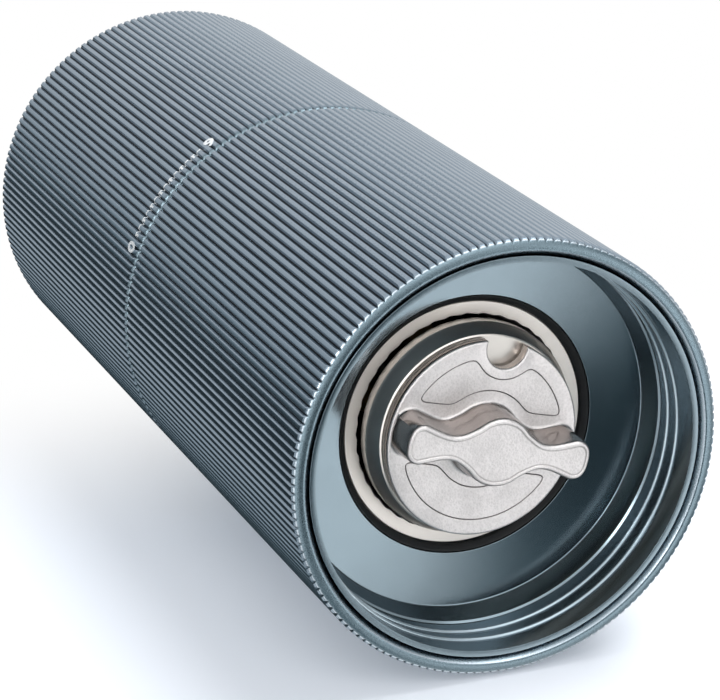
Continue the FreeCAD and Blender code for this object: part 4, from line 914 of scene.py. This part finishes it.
class GRINDER_OT_wing_knob(bpy.types.Operator):
    """Builds the cast wing knob: disc with its notch and engraved lines, and the dog-bone wing"""
    bl_idname = "grinder.wing_knob"
    bl_label = "Wing knob"
    # Rounded edge of the disc: inset, and drop from its face
    EDGE = [(0.34, 0.0), (0.2, 0.03), (0.09, 0.1), (0.02, 0.21), (0.0, 0.34)]
    # Wing from its fillet over the flank and the border to the sunk crown: inset, and rise of a wing 5 mm high
    FLANKS = [(-0.5, 0.0), (-0.28, 0.05), (-0.12, 0.17), (-0.03, 0.36), (0.0, 0.6), (0.22, 4.5), (0.25, 4.66),
              (0.32, 4.8), (0.48, 4.96), (0.56, 5.0), (0.76, 5.0), (0.8, 4.98), (0.86, 4.88), (0.92, 4.86),
              (1.04, 4.86)]

    def execute(self, context):
        sizes = context.scene.grinder_knob
        low, high = heights("wing_knob")
        tall = sizes.wing_height / MM
        face = low + tall
        disc, notch, notch_reach, socket, socket_roof = 12.2, 2.6, 11.4, 2.66, low + 1.8
        turn = sizes.notch_angle - sizes.wing_angle
        shell = Shell()

        rim = self.disc_loop(disc, notch, notch_reach, turn)
        rows = [(inset(rim, away), face + drop) for away, drop in self.EDGE]
        rows += [(inset(rim, away), high - rise) for away, rise in ((0.0, 0.25), (0.08, 0.08), (0.25, 0.0))]
        # The disc's side and the notch carry the flank mark, which the material smooths and paints darker as
        # shade
        shell.stack([(flat, level, float(level > face + 0.3)) for flat, level in rows])
        top, bottom = rows[0][0], rows[-1][0]

        wing = self.wing_rows(wing_loop(4.5, 1.75, 2.7, 11.85), face, disc - 0.36, tall / 5.0)
        shell.stack(wing)
        base, (crown, crown_level) = wing[0][0], wing[-1][:2]
        shell.fill([(crown, crown_level, 0.0)], crown)

        half_line, line_depth, grooves = 0.09, 0.11, []
        for side in (1, -1):
            line = self.engraved(side, turn, notch, notch_reach)
            # The floor of each engraved line carries the mark that the material paints dark as shade
            grooves += [(inset(line, half_line), face, 0.0), (line, face + line_depth, 1.0),
                        (inset(line, -half_line), face, 0.0)]
        shell.fill([(top, face, 0.0), (base, face, 0.0)] + grooves, top, base)
        hole = arc((0, 0), socket, 0, 2 * math.pi, 65)[:-1]
        shell.fill([(bottom, high, 0.0), (hole, high, 0.0)], bottom, hole)
        roof = shell.stack([(hole, high), (hole, socket_roof)])[1]
        shell.faces.append(tuple(roof))

        angle = sizes.wing_angle
        spin = np.array([[math.cos(angle), -math.sin(angle)], [math.sin(angle), math.cos(angle)]])
        shell.points = [(*(spin @ np.array(point[:2])), point[2]) for point in shell.points]
        knob = shell.made("wing_knob_cast", finish("cast_steel"))
        stand_for(knob, "burr_cap", "cast_steel", "wing_knob")
        return {"FINISHED"}

    def wing_rows(self, wing, face, limit, scale):
        """Loops of the wing: its fillet stays on the disc, and above it the wing runs to the disc's edge."""
        fillet, reach_out, border = 0.4, 12.1, 0.8
        rows = []
        for away, rise in self.FLANKS:
            flat = inset(wing, away)
            if rise < fillet:
                length = np.linalg.norm(flat, axis=1)
                flat = np.where((length > limit)[:, None], flat * (limit / length)[:, None], flat)
            else:
                flat = flat * [(reach_out - away * 0.8) / flat[:, 0].max(), 1.0]
            # The flank share, which the material paints as shade, is strongest near the wing's foot
            polish_and_flank_shade = float(np.interp(rise, (0.0, 0.36, 4.5, 4.97), (0.0, 1.0, 0.8, 0.0)))
            sunk = 0.45 if border < away < 1.0 else 0.0
            rows.append((flat, face - rise * scale, polish_and_flank_shade if away < border else 0.0, sunk))
        return rows

    def disc_loop(self, disc, notch, distance, turn):
        """The disc's edge with the round notch taken out, anticlockwise."""
        half = math.acos((disc ** 2 + distance ** 2 - notch ** 2) / (2 * disc * distance))
        rim = arc((0, 0), disc, turn + half, turn + 2 * math.pi - half, 700)
        centre = (distance * math.cos(turn), distance * math.sin(turn))
        first, last = (math.atan2(spot[1] - centre[1], spot[0] - centre[0]) for spot in (rim[-1], rim[0]))
        while last > first:
            last -= 2 * math.pi
        bite = arc(centre, notch, first, last, 80)
        return softened(evened(np.vstack([rim, bite[1:-1]]), 0.1), 10)

    def engraved(self, side, turn, notch, distance):
        """An engraved line that follows the disc's edge, the notch and the wing on one side."""
        outer, inner, beside, clear, count = 10.2, 6.1, 3.75, 1.35, 400
        limit = math.asin(beside / outer)
        angles = np.linspace(limit, math.pi - limit, count) * side
        out = np.full(count, outer)
        offset = angles - turn
        room = (notch + clear) ** 2 - (distance * np.sin(offset)) ** 2
        near = (room > 0) & (np.cos(offset) > 0)
        out[near] = np.minimum(outer, distance * np.cos(offset[near]) - np.sqrt(room[near]))
        back = np.maximum(inner, beside / np.abs(np.sin(angles)))
        far, close = (np.column_stack([wide * np.cos(angles), wide * np.sin(angles)]) for wide in (out, back))
        loop = np.vstack([far, close[::-1]])
        return softened(evened(loop if side > 0 else loop[::-1], 0.12), 70)


class GRINDER_OT_dial_scale(bpy.types.Operator):
    """Etches the fine scale on the upper sleeve: a line, ticks and plain numbers"""
    bl_idname = "grinder.dial_scale"
    bl_label = "Dial scale"

    def execute(self, context):
        sizes = context.scene.grinder_dial
        sleeves = context.scene.grinder_sleeves
        foot = heights("upper_sleeve")[0]
        crest = reach("upper_sleeve") + 0.012
        pitch = 2 * math.pi / sleeves.rib_count
        first = round(sizes.first / pitch) * pitch
        crown = [(share * pitch, 0.0) for share in (-0.14, -0.07, 0.0, 0.07, 0.14)]
        material = finish("etched_scale")
        for name, low, high, profile, count, step in (
                ("scale_line", 2.25, 2.55, rib_columns(sleeves), sizes.ticks, pitch),
                ("scale_ticks", 1.5, 2.35, crown, (sizes.ticks + 1) // 2, 2 * pitch)):
            one = self.mark(name, crest, (foot + low, foot + high), profile, material)
            stand_for(repeated(one, count, material, first, step), "dial", "anodised_slate")
        for number, place in (("0", -1.7), ("9", sizes.ticks + 0.7)):
            self.numeral(number, crest, first + place * pitch, foot + 1.3, material)
        return {"FINISHED"}

    def mark(self, name, radius, levels, profile, material):
        """A mark on one rib, thin and closed; the profile gives angles and depths."""
        thick = 0.05
        columns = len(profile)
        points = [((radius - away - deep) * math.cos(angle), (radius - away - deep) * math.sin(angle), level)
                  for away in (thick, 0.0) for level in levels for angle, deep in profile]
        faces = []
        for index in range(columns - 1):
            inner, under, outer, over = (row * columns + index for row in range(4))
            faces += [(outer, outer + 1, over + 1, over), (inner + 1, inner, under, under + 1),
                      (inner, inner + 1, outer + 1, outer), (under + 1, under, over, over + 1)]
        last = columns - 1
        faces += [(0, 2 * columns, 3 * columns, columns),
                  (last, columns + last, 3 * columns + last, 2 * columns + last)]
        return piece(name, points, faces, material)

    def numeral(self, text, radius, angle, low, material):
        """A plain number wrapped on the sleeve."""
        curve = bpy.data.curves.new("scale_number", "FONT")
        curve.body, curve.size, curve.align_x, curve.extrude = text, 3.0 * MM, "CENTER", 0.03 * MM
        curve.resolution_u, curve.offset = 4, 0.09 * MM
        flat = placed("scale_number", curve)
        mesh = baked(flat)
        bpy.data.objects.remove(flat)
        for vertex in mesh.vertices:
            wide = radius * MM + vertex.co.z
            place = angle + vertex.co.x / (radius * MM)
            vertex.co = (wide * math.cos(place), wide * math.sin(place), low * MM + vertex.co.y)
        clad(mesh, material)
        stand_for(placed("scale_number_" + text, mesh), "dial", "anodised_slate")


def hexagonal(width):
    """Radius of a hexagon across flats, by angle."""
    return lambda angle: width / 2 / math.cos((angle + math.pi / 6) % (math.pi / 3) - math.pi / 6)


# Distance from the shaft to the walnut knob's spindle
ARM_LENGTH = 110.0


class GRINDER_OT_crank(bpy.types.Operator):
    """Builds the lid, the crank arm with its screw and nut, the walnut knob and the top collar"""
    bl_idname = "grinder.crank"
    bl_label = "Lid and crank"

    def execute(self, context):
        self.lid()
        self.arm(context.scene.grinder_crank.edge_round / MM)
        self.fasteners()
        self.knob()
        low, high = heights("top_collar")
        inside, neck, outside, ledge = 19.8, 21.0, 24.6, low + 0.6
        outline = rounded([
            (inside, low), (neck, low), (neck, ledge), (outside, ledge), (outside, high, 0.4),
            (inside, high, 0.4)], 0.08)
        collar = turned("top_collar_turned", outline, finish("anodised_crank"))
        stand_for(collar, "housing", "anodised_slate", "top_collar")
        return {"FINISHED"}

    def lid(self):
        """The lid: a plug with the seal's groove under a flange that sweeps up to the hub."""
        foot, top = heights("crank_lid")
        edge, sweep = foot + 5.0, 17.0
        bolt, socket, hub, hollow, plug, flange = 2.55, 6.02, 9.0, 17.5, 19.3, 22.4
        seal_root, seal_foot, seal_top, socket_roof = 18.35, foot + 1.8, foot + 3.2, top - 5.25
        start, end = Vector((flange, edge + 1.6)), Vector((hub, top))
        chord = end - start
        rise = math.sqrt(sweep ** 2 - chord.length_squared / 4)
        middle = (start + end) / 2 + Vector((-chord.y, chord.x)).normalized() * -rise
        angles = [math.atan2(spot.y - middle.y, spot.x - middle.x) for spot in (start, end)]
        curve = arc(middle, sweep, *angles, 15)
        corners = [(socket, foot), (hub, foot), (hub, edge), (hollow, edge), (hollow, foot), (plug, foot, 0.3),
                   (plug, seal_foot), (seal_root, seal_foot), (seal_root, seal_top), (plug, seal_top),
                   (plug, edge), (flange, edge, 0.45), (flange, edge + 1.6, 0.25)]
        corners += [(*point, 0) for point in curve[1:-1]]
        corners += [(hub, top, 0.3), (bolt, top), (bolt, socket_roof), (socket, socket_roof)]
        lid = turned("crank_lid_turned", rounded(corners, 0.12), finish("anodised_crank"))
        stand_for(lid, "crank", "anodised_slate", "crank_lid")

    def arm(self, soft):
        """The arm: a bar that narrows to the knob, with rounded edges and a hole at each end."""
        low, high = heights("crank_arm")
        root, tip = 8.6, 6.6
        lean = math.asin((root - tip) / ARM_LENGTH)
        outside = np.vstack([arc((0, 0), root, math.pi - lean, 2 * math.pi + lean, 90),
                             arc((0, ARM_LENGTH), tip, lean, math.pi - lean, 90)])
        outside = softened(evened(outside, 0.8), 2)
        holes = [arc(centre, radius, 0, 2 * math.pi, 49)[:-1]
                 for centre, radius in (((0, 0), 2.55), ((0, ARM_LENGTH), 3.03))]
        rounding = [(soft * (1 - math.sin(angle)), soft * (1 - math.cos(angle)))
                    for angle in np.linspace(0, math.pi / 2, 6)]
        rows = [(inset(outside, away), low + rise) for away, rise in rounding]
        rows += [(inset(outside, away), high - rise) for away, rise in rounding[::-1]]
        shell = Shell()
        shell.stack(rows)
        for flat, level in (rows[0], rows[-1]):
            shell.fill([(loop, level, 0.0) for loop in (flat, *holes)], flat, *holes)
        for hole in holes:
            shell.stack([(hole, low), (hole, high)])
        made = shell.made("crank_arm_bar", finish("anodised_crank"))
        stand_for(made, "crank", "anodised_slate", "crank_arm")

    def fasteners(self):
        """The screw with its hexagon socket on the hub, and the hexagon nut at the arm's tip."""
        foot, top = heights("hub_screw")
        under, socket = heights("crank_arm")[1], hexagonal(3.0)
        shank, head = 2.5, 5.2
        outline = [(0.0, foot), (shank - 0.2, foot), (shank, foot + 0.3), (shank, under), (head - 0.2, under),
                   (head, under + 0.2), (head, under + 0.9), (head - 0.15, under + 1.4), (4.5, under + 2.1),
                   (3.7, under + 2.6), (2.9, top - 0.02), (2.3, top), (1.75, top)]
        before_socket = len(outline)
        outline += [(1.6, top - 0.15), (1.6, top - 1.9), (0.0, top - 2.2)]
        screw = turned(
            "hub_screw_head", outline, finish("ground_shaft_steel"), 96,
            shape=lambda index, radius, angle: socket(angle) if radius and index >= before_socket else radius)
        stand_for(screw, "crank", "shaft_steel", "hub_screw")

        foot, top = heights("spindle_nut")
        bore, corner, flats = 3.03, 5.2, hexagonal(9.0)
        outline = [(bore, foot + 0.3), (3.3, foot), (4.4, foot), (corner, foot + 0.45), (corner, top),
                   (bore, top)]
        nut = turned("spindle_nut_hexagon", outline, finish("ground_shaft_steel"), 96, (0.0, ARM_LENGTH),
                     lambda index, radius, angle: min(radius, flats(angle)) if radius > 3.5 else radius)
        stand_for(nut, "crank", "shaft_steel", "spindle_nut")

    def knob(self):
        """The turned knob, a barrel that swells towards its end, and the cap over its screw."""
        foot, top = heights("crank_knob")
        centre = (0.0, ARM_LENGTH)
        neck, belly, crown, rise = 8.6, 14.4, 9.0, 21.0
        bore, counterbore, cap_seat = 4.45, 4.9, 6.22
        swell, close = 14, 12
        side = []
        for step in range(1, swell + 1):
            share = step / swell
            side.append((neck + (belly - neck) * math.sin(share * math.pi / 2) ** 0.9, foot + rise * share))
        for step in range(1, close):
            share = step / close
            side.append((belly - (belly - crown) * (1 - math.cos(share * math.pi / 2)),
                         foot + rise + (top - foot - rise) * share))
        corners = [(bore, foot), (neck, foot, 0.5)] + [(*point, 0) for point in side]
        corners += [(crown, top, 0.9), (cap_seat, top, 0.2), (cap_seat, top - 2.0), (counterbore, top - 2.0),
                    (counterbore, top - 5.6), (bore, top - 5.6)]
        knob = turned(
            "crank_knob_turned", rounded(corners, 0.12), finish("oiled_walnut"), 128, centre, sharp=50.0)
        stand_for(knob, "knob", "walnut", "crank_knob")
        low, high = heights("knob_cap")
        outline = rounded([(0.0, low), (6.2, low, 0.1), (6.2, high - 0.35, 0.25), (0.0, high)], 0.1)
        cap = turned("knob_cap_turned", outline, finish("oiled_walnut"), 96, centre)
        stand_for(cap, "knob", "walnut", "knob_cap")


# Solids that keep their shape, by finish
CLADDING = {
    "anodised_crank": ["bearing_carriage", "burr_bridge"],
    "ground_shaft_steel": ["drive_shaft", "drive_pin", "knob_spindle", "hub_socket", "bearing_outer_ring",
                           "bearing_inner_ring", "plunger_balls", "detent_ring"],
    "blackened_spring_steel": ["plunger_bodies", "shaft_clips", "bearing_clip", "wave_washer"],
    "black_nylon": ["knob_bushes"],
    "smoked_hopper_plastic": ["hopper_tube"],
    "sintered_bronze": ["bridge_bush"],
    "black_rubber": ["dial_seal", "lid_seal", "bearing_shields"],
}


class GRINDER_OT_inner_parts(bpy.types.Operator):
    """Gives the shaft, bearing, seals, hopper and other carried-over solids their finishes"""
    bl_idname = "grinder.inner_parts"
    bl_label = "Inner parts"

    def execute(self, context):
        for name, nodes in CLADDING.items():
            for node in nodes:
                clad(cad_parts[node].data, finish(name))
        return {"FINISHED"}


# The photograph's view in the part's frame: the grinder lies on a table there, so that table's way up is
# sideways here
EYE = Vector((-1.22, -181.85, -283.54)) * MM
RIGHT = Vector((0.64063, 0.67168, -0.37207))
UP = Vector((0.76785, -0.56039, 0.31043))
FOCAL_PIXELS, FRAME_PIXELS, SENSOR = 2901.89, 720, 36.0
TABLE_UP = Vector((0.724, -0.690, 0.0)).normalized()
LEFT = Vector((-0.690, -0.724, 0.0)).normalized()
# The side of the soft box over the table, which the ribs catch on one flank
LIT_SIDE = Vector((0.94, -0.34, 0.0)).normalized()
# Patches of the studio that metals mirror: the way to a patch, how many degrees from there it begins to fade
# and is gone, and its level inside and outside
PATCHES = {
    # The dark camera and the lit table before it, which the dished floor mirrors
    "dark": ((-0.1, 0.235, -0.967), 6, 27, 0.05, 1.0),
    "bright": ((0.12, 0.62, -0.78), 14, 42, 2.25, 0.4),
    # The table under the grinder, a pale card beside it, and a bare lamp that lights up the upper rim
    "table": (-TABLE_UP, 25, 65, 1.25, 0.0),
    "card": ((-0.85, -0.4, -0.35), 12, 35, 1.3, 0.0),
    "lamp": ((0.87, -0.29, -0.38), 6, 18, 6.0, 0.0),
    # Pale cards round the camera and a lamp that glints among them, which thread, wall and wing catch
    "front": ((0.1, -0.62, -0.78), 20, 55, 1.35, 0.0),
    "glint": ((-0.16, -0.72, -0.675), 4, 10, 9.0, 0.0),
    "port": ((0.66, -0.2, -0.72), 8, 28, 1.5, 0.0),
    "starboard": ((-0.66, -0.15, -0.73), 8, 28, 1.4, 0.0),
}


class GRINDER_OT_stage(bpy.types.Operator):
    """Sets up the camera, the soft lamps, the pale floor and the white surroundings"""
    bl_idname = "grinder.stage"
    bl_label = "Camera and light"

    def execute(self, context):
        scene = context.scene
        scene.view_settings.view_transform = "Standard"
        lens = bpy.data.cameras.new("photo_camera")
        lens.sensor_width, lens.lens = SENSOR, SENSOR * FOCAL_PIXELS / FRAME_PIXELS
        lens.clip_start, lens.clip_end = 0.01, 20.0
        camera = placed("photo_camera", lens)
        facing = Matrix((RIGHT, UP, RIGHT.cross(UP))).transposed()
        camera.matrix_world = Matrix.Translation(EYE) @ facing.to_4x4()
        scene.camera = camera
        self.lamps()
        self.surroundings(scene)
        self.floor()
        return {"FINISHED"}

    def lamps(self):
        """Soft round lamps that light the object and that metals don't mirror."""
        middle = Vector((0, 0, 0.05))
        for name, place, width, watts in (
                ("key_lamp", TABLE_UP * 0.75 - LEFT * 0.35 + Vector((0, 0, 0.15)), 0.7, 8.0),
                ("front_lamp", EYE * 1.6 + TABLE_UP * 0.25, 0.5, 2.0),
                ("top_lamp", Vector((0.1, 0.1, 0.85)), 0.7, 5.0),
                ("rear_lamp", -TABLE_UP * 0.8 + Vector((0, 0, 0.35)), 0.7, 2.0)):
            lamp = bpy.data.lights.new(name, "AREA")
            lamp.shape, lamp.size, lamp.energy = "DISK", width, watts
            holder = placed(name, lamp)
            holder.visible_glossy = False
            holder.location = place
            holder.rotation_mode = "QUATERNION"
            holder.rotation_quaternion = (middle - place).to_track_quat("-Z", "Y")

    def surroundings(self, scene):
        """White to the camera, plain soft light to dull surfaces, and the shaped studio to metals."""
        world = bpy.data.worlds.new("white_studio")
        scene.world = world
        world.use_nodes = True
        tree = world.node_tree
        tree.nodes.clear()
        way = add(tree, "ShaderNodeTexCoord").outputs["Generated"]
        upward = add(tree, "ShaderNodeSeparateXYZ", {"Vector": way}).outputs["Z"]
        toward = add(tree, "ShaderNodeVectorMath", {0: way, 1: LIT_SIDE}, operation="DOT_PRODUCT")
        flank = add(tree, "ShaderNodeMapRange", {
            "Value": toward, "From Min": -0.3, "From Max": -0.08, "To Min": 0.05, "To Max": 0.76},
            interpolation_type="SMOOTHSTEP")
        crown = add(tree, "ShaderNodeMapRange", {
            "Value": toward, "From Min": -0.08, "From Max": 0.48, "To Min": 0.0, "To Max": 0.38})
        around = add(tree, "ShaderNodeMath", {0: flank, 1: crown}, operation="ADD")
        patches = {}
        for name, (aim, near, far, inside, outside) in PATCHES.items():
            facing = add(tree, "ShaderNodeVectorMath", {
                0: way, 1: Vector(aim).normalized()}, operation="DOT_PRODUCT")
            patches[name] = add(tree, "ShaderNodeMapRange", {
                "Value": facing, "To Min": outside, "To Max": inside,
                "From Min": math.cos(math.radians(far)), "From Max": math.cos(math.radians(near))},
                interpolation_type="SMOOTHSTEP")
        # The table ends below the grinder's far end
        level = add(tree, "ShaderNodeMapRange", {
            "Value": upward, "From Min": 0.8, "From Max": 0.4}, interpolation_type="SMOOTHSTEP")
        table = add(tree, "ShaderNodeMath", {0: patches["table"], 1: level}, operation="MULTIPLY")
        for card in (table, patches["card"], patches["lamp"]):
            around = add(tree, "ShaderNodeMath", {0: around, 1: card}, operation="MAXIMUM")
        cards = patches["front"]
        for name in ("glint", "port", "starboard"):
            cards = add(tree, "ShaderNodeMath", {0: cards, 1: patches[name]}, operation="ADD")
        open_end = add(tree, "ShaderNodeMath", {
            0: patches["dark"], 1: patches["bright"], 2: cards}, operation="MULTIPLY_ADD")
        below = add(tree, "ShaderNodeMapRange", {
            "Value": upward, "From Min": -0.3, "From Max": -0.6}, interpolation_type="SMOOTHSTEP")
        studio = add(tree, "ShaderNodeMix", {"Factor": below, "A": around, "B": open_end})
        rays = add(tree, "ShaderNodeLightPath").outputs
        glow = add(tree, "ShaderNodeMix", {"Factor": rays["Is Glossy Ray"], "A": 0.6, "B": studio})
        pure = add(tree, "ShaderNodeMix", {"Factor": rays["Is Glossy Ray"], "A": 1.0, "B": studio})
        # The studio's dim parts are cool, as the photograph's shadows are
        cooled = add(tree, "ShaderNodeMix", {
            "Factor": pure, FROM: (0.5, 0.85, 1.0, 1), TO: (0.98, 0.99, 1.0, 1)}, data_type="RGBA")
        soft = add(tree, "ShaderNodeBackground", {"Color": cooled, "Strength": glow})
        white = add(tree, "ShaderNodeBackground", {"Color": (1, 1, 1, 1), "Strength": 1.0})
        seen = add(tree, "ShaderNodeMath", {
            0: rays["Is Camera Ray"], 1: rays["Is Transmission Ray"]}, operation="ADD")
        both = add(tree, "ShaderNodeMixShader", {0: seen, 1: soft, 2: white})
        add(tree, "ShaderNodeOutputWorld", {"Surface": both})

    def floor(self):
        """Pale floor under the upright grinder, and the pale table of the photograph beside it. Both show
        only to the camera and only from their front, so neither shuts the light out of the open end."""
        side, beside = 3.0, -TABLE_UP * 0.0275
        left, right, near, far = -0.5, 0.5, -0.3, 0.125
        corners = [(-side, -side, 0), (side, -side, 0), (side, side, 0), (-side, side, 0)]
        floor = self.sheet("floor", corners, self.pale("pale_floor", (1, 1, 0), 0.12, 0.4))
        corners = [beside + LEFT * across + Vector((0, 0, up))
                   for across, up in ((left, near), (left, far), (right, far), (right, near))]
        table = self.sheet("photo_table", corners, self.pale("pale_table", (0, 0, 1), 0.05, 0.12))

    def pale(self, name, ways, near, far):
        """A pale sheet that takes shadows and clears to white between two distances along these ways."""
        material, tree, place = started(name)
        kept = add(tree, "ShaderNodeVectorMath", {0: place, 1: ways}, operation="MULTIPLY")
        distance = add(tree, "ShaderNodeVectorMath", {0: kept}, operation="LENGTH")
        cleared = add(tree, "ShaderNodeMapRange", {
            "Value": distance, "From Min": near, "From Max": far}, interpolation_type="SMOOTHSTEP")
        seen = add(tree, "ShaderNodeLightPath").outputs["Is Camera Ray"]
        behind = add(tree, "ShaderNodeNewGeometry").outputs["Backfacing"]
        front = add(tree, "ShaderNodeMath", {0: 1.0, 1: behind}, operation="SUBTRACT")
        shown = add(tree, "ShaderNodeMath", {0: front, 1: seen}, operation="MULTIPLY")
        dull = add(tree, "ShaderNodeBsdfDiffuse", {"Color": (0.675, 0.705, 0.755, 1)})
        glow = add(tree, "ShaderNodeEmission", {"Color": (0.86, 0.92, 1.0, 1), "Strength": 0.22})
        lit = add(tree, "ShaderNodeAddShader", {0: dull, 1: glow})
        white = add(tree, "ShaderNodeEmission", {"Color": (1, 1, 1, 1), "Strength": 1.0})
        faded = add(tree, "ShaderNodeMixShader", {0: cleared, 1: lit, 2: white})
        clear = add(tree, "ShaderNodeBsdfTransparent")
        both = add(tree, "ShaderNodeMixShader", {0: shown, 1: clear, 2: faded})
        add(tree, "ShaderNodeOutputMaterial", {"Surface": both})
        return material

    def sheet(self, name, corners, material):
        """A flat sheet of the stage, in metres."""
        mesh = bpy.data.meshes.new(name)
        mesh.from_pydata([tuple(corner) for corner in corners], [], [(0, 1, 2, 3)])
        clad(mesh, material)
        made = placed(name, mesh)
        made.visible_shadow = False
        return made


class GRINDER_PT_panel(bpy.types.Panel):
    """Sidebar panel"""
    bl_idname = "GRINDER_PT_panel"
    bl_label = "Coffee grinder"
    bl_space_type = "VIEW_3D"
    bl_region_type = "UI"
    bl_category = "Grinder"

    def draw(self, context):
        for group in SETTINGS:
            settings = getattr(context.scene, group)
            for name in settings.bl_rna.properties.keys():
                if name not in ("rna_type", "name"):
                    self.layout.prop(settings, name)
        for operator in OPERATORS:
            self.layout.operator(operator.bl_idname)


SETTINGS = {
    "grinder_sleeves": SleeveSizes, "grinder_skirt": SkirtSizes, "grinder_burrs": BurrSizes,
    "grinder_knob": KnobSizes, "grinder_dial": DialSizes, "grinder_crank": CrankSizes,
}
OPERATORS = [
    GRINDER_OT_inner_parts, GRINDER_OT_sleeves, GRINDER_OT_barrel, GRINDER_OT_burrs, GRINDER_OT_wing_knob,
    GRINDER_OT_dial_scale, GRINDER_OT_crank, GRINDER_OT_stage,
]


def register():
    for group in SETTINGS.values():
        bpy.utils.register_class(group)
    for operator in OPERATORS:
        bpy.utils.register_class(operator)
    bpy.utils.register_class(GRINDER_PT_panel)
    for name, group in SETTINGS.items():
        setattr(bpy.types.Scene, name, PointerProperty(type=group))


def unregister():
    for name in SETTINGS:
        delattr(bpy.types.Scene, name)
    bpy.utils.unregister_class(GRINDER_PT_panel)
    for operator in reversed(OPERATORS):
        bpy.utils.unregister_class(operator)
    for group in reversed(list(SETTINGS.values())):
        bpy.utils.unregister_class(group)


def main():
    register()
    for operator in OPERATORS:
        family, name = operator.bl_idname.split(".")
        getattr(getattr(bpy.ops, family), name)()


if __name__ == "__main__":
    main()
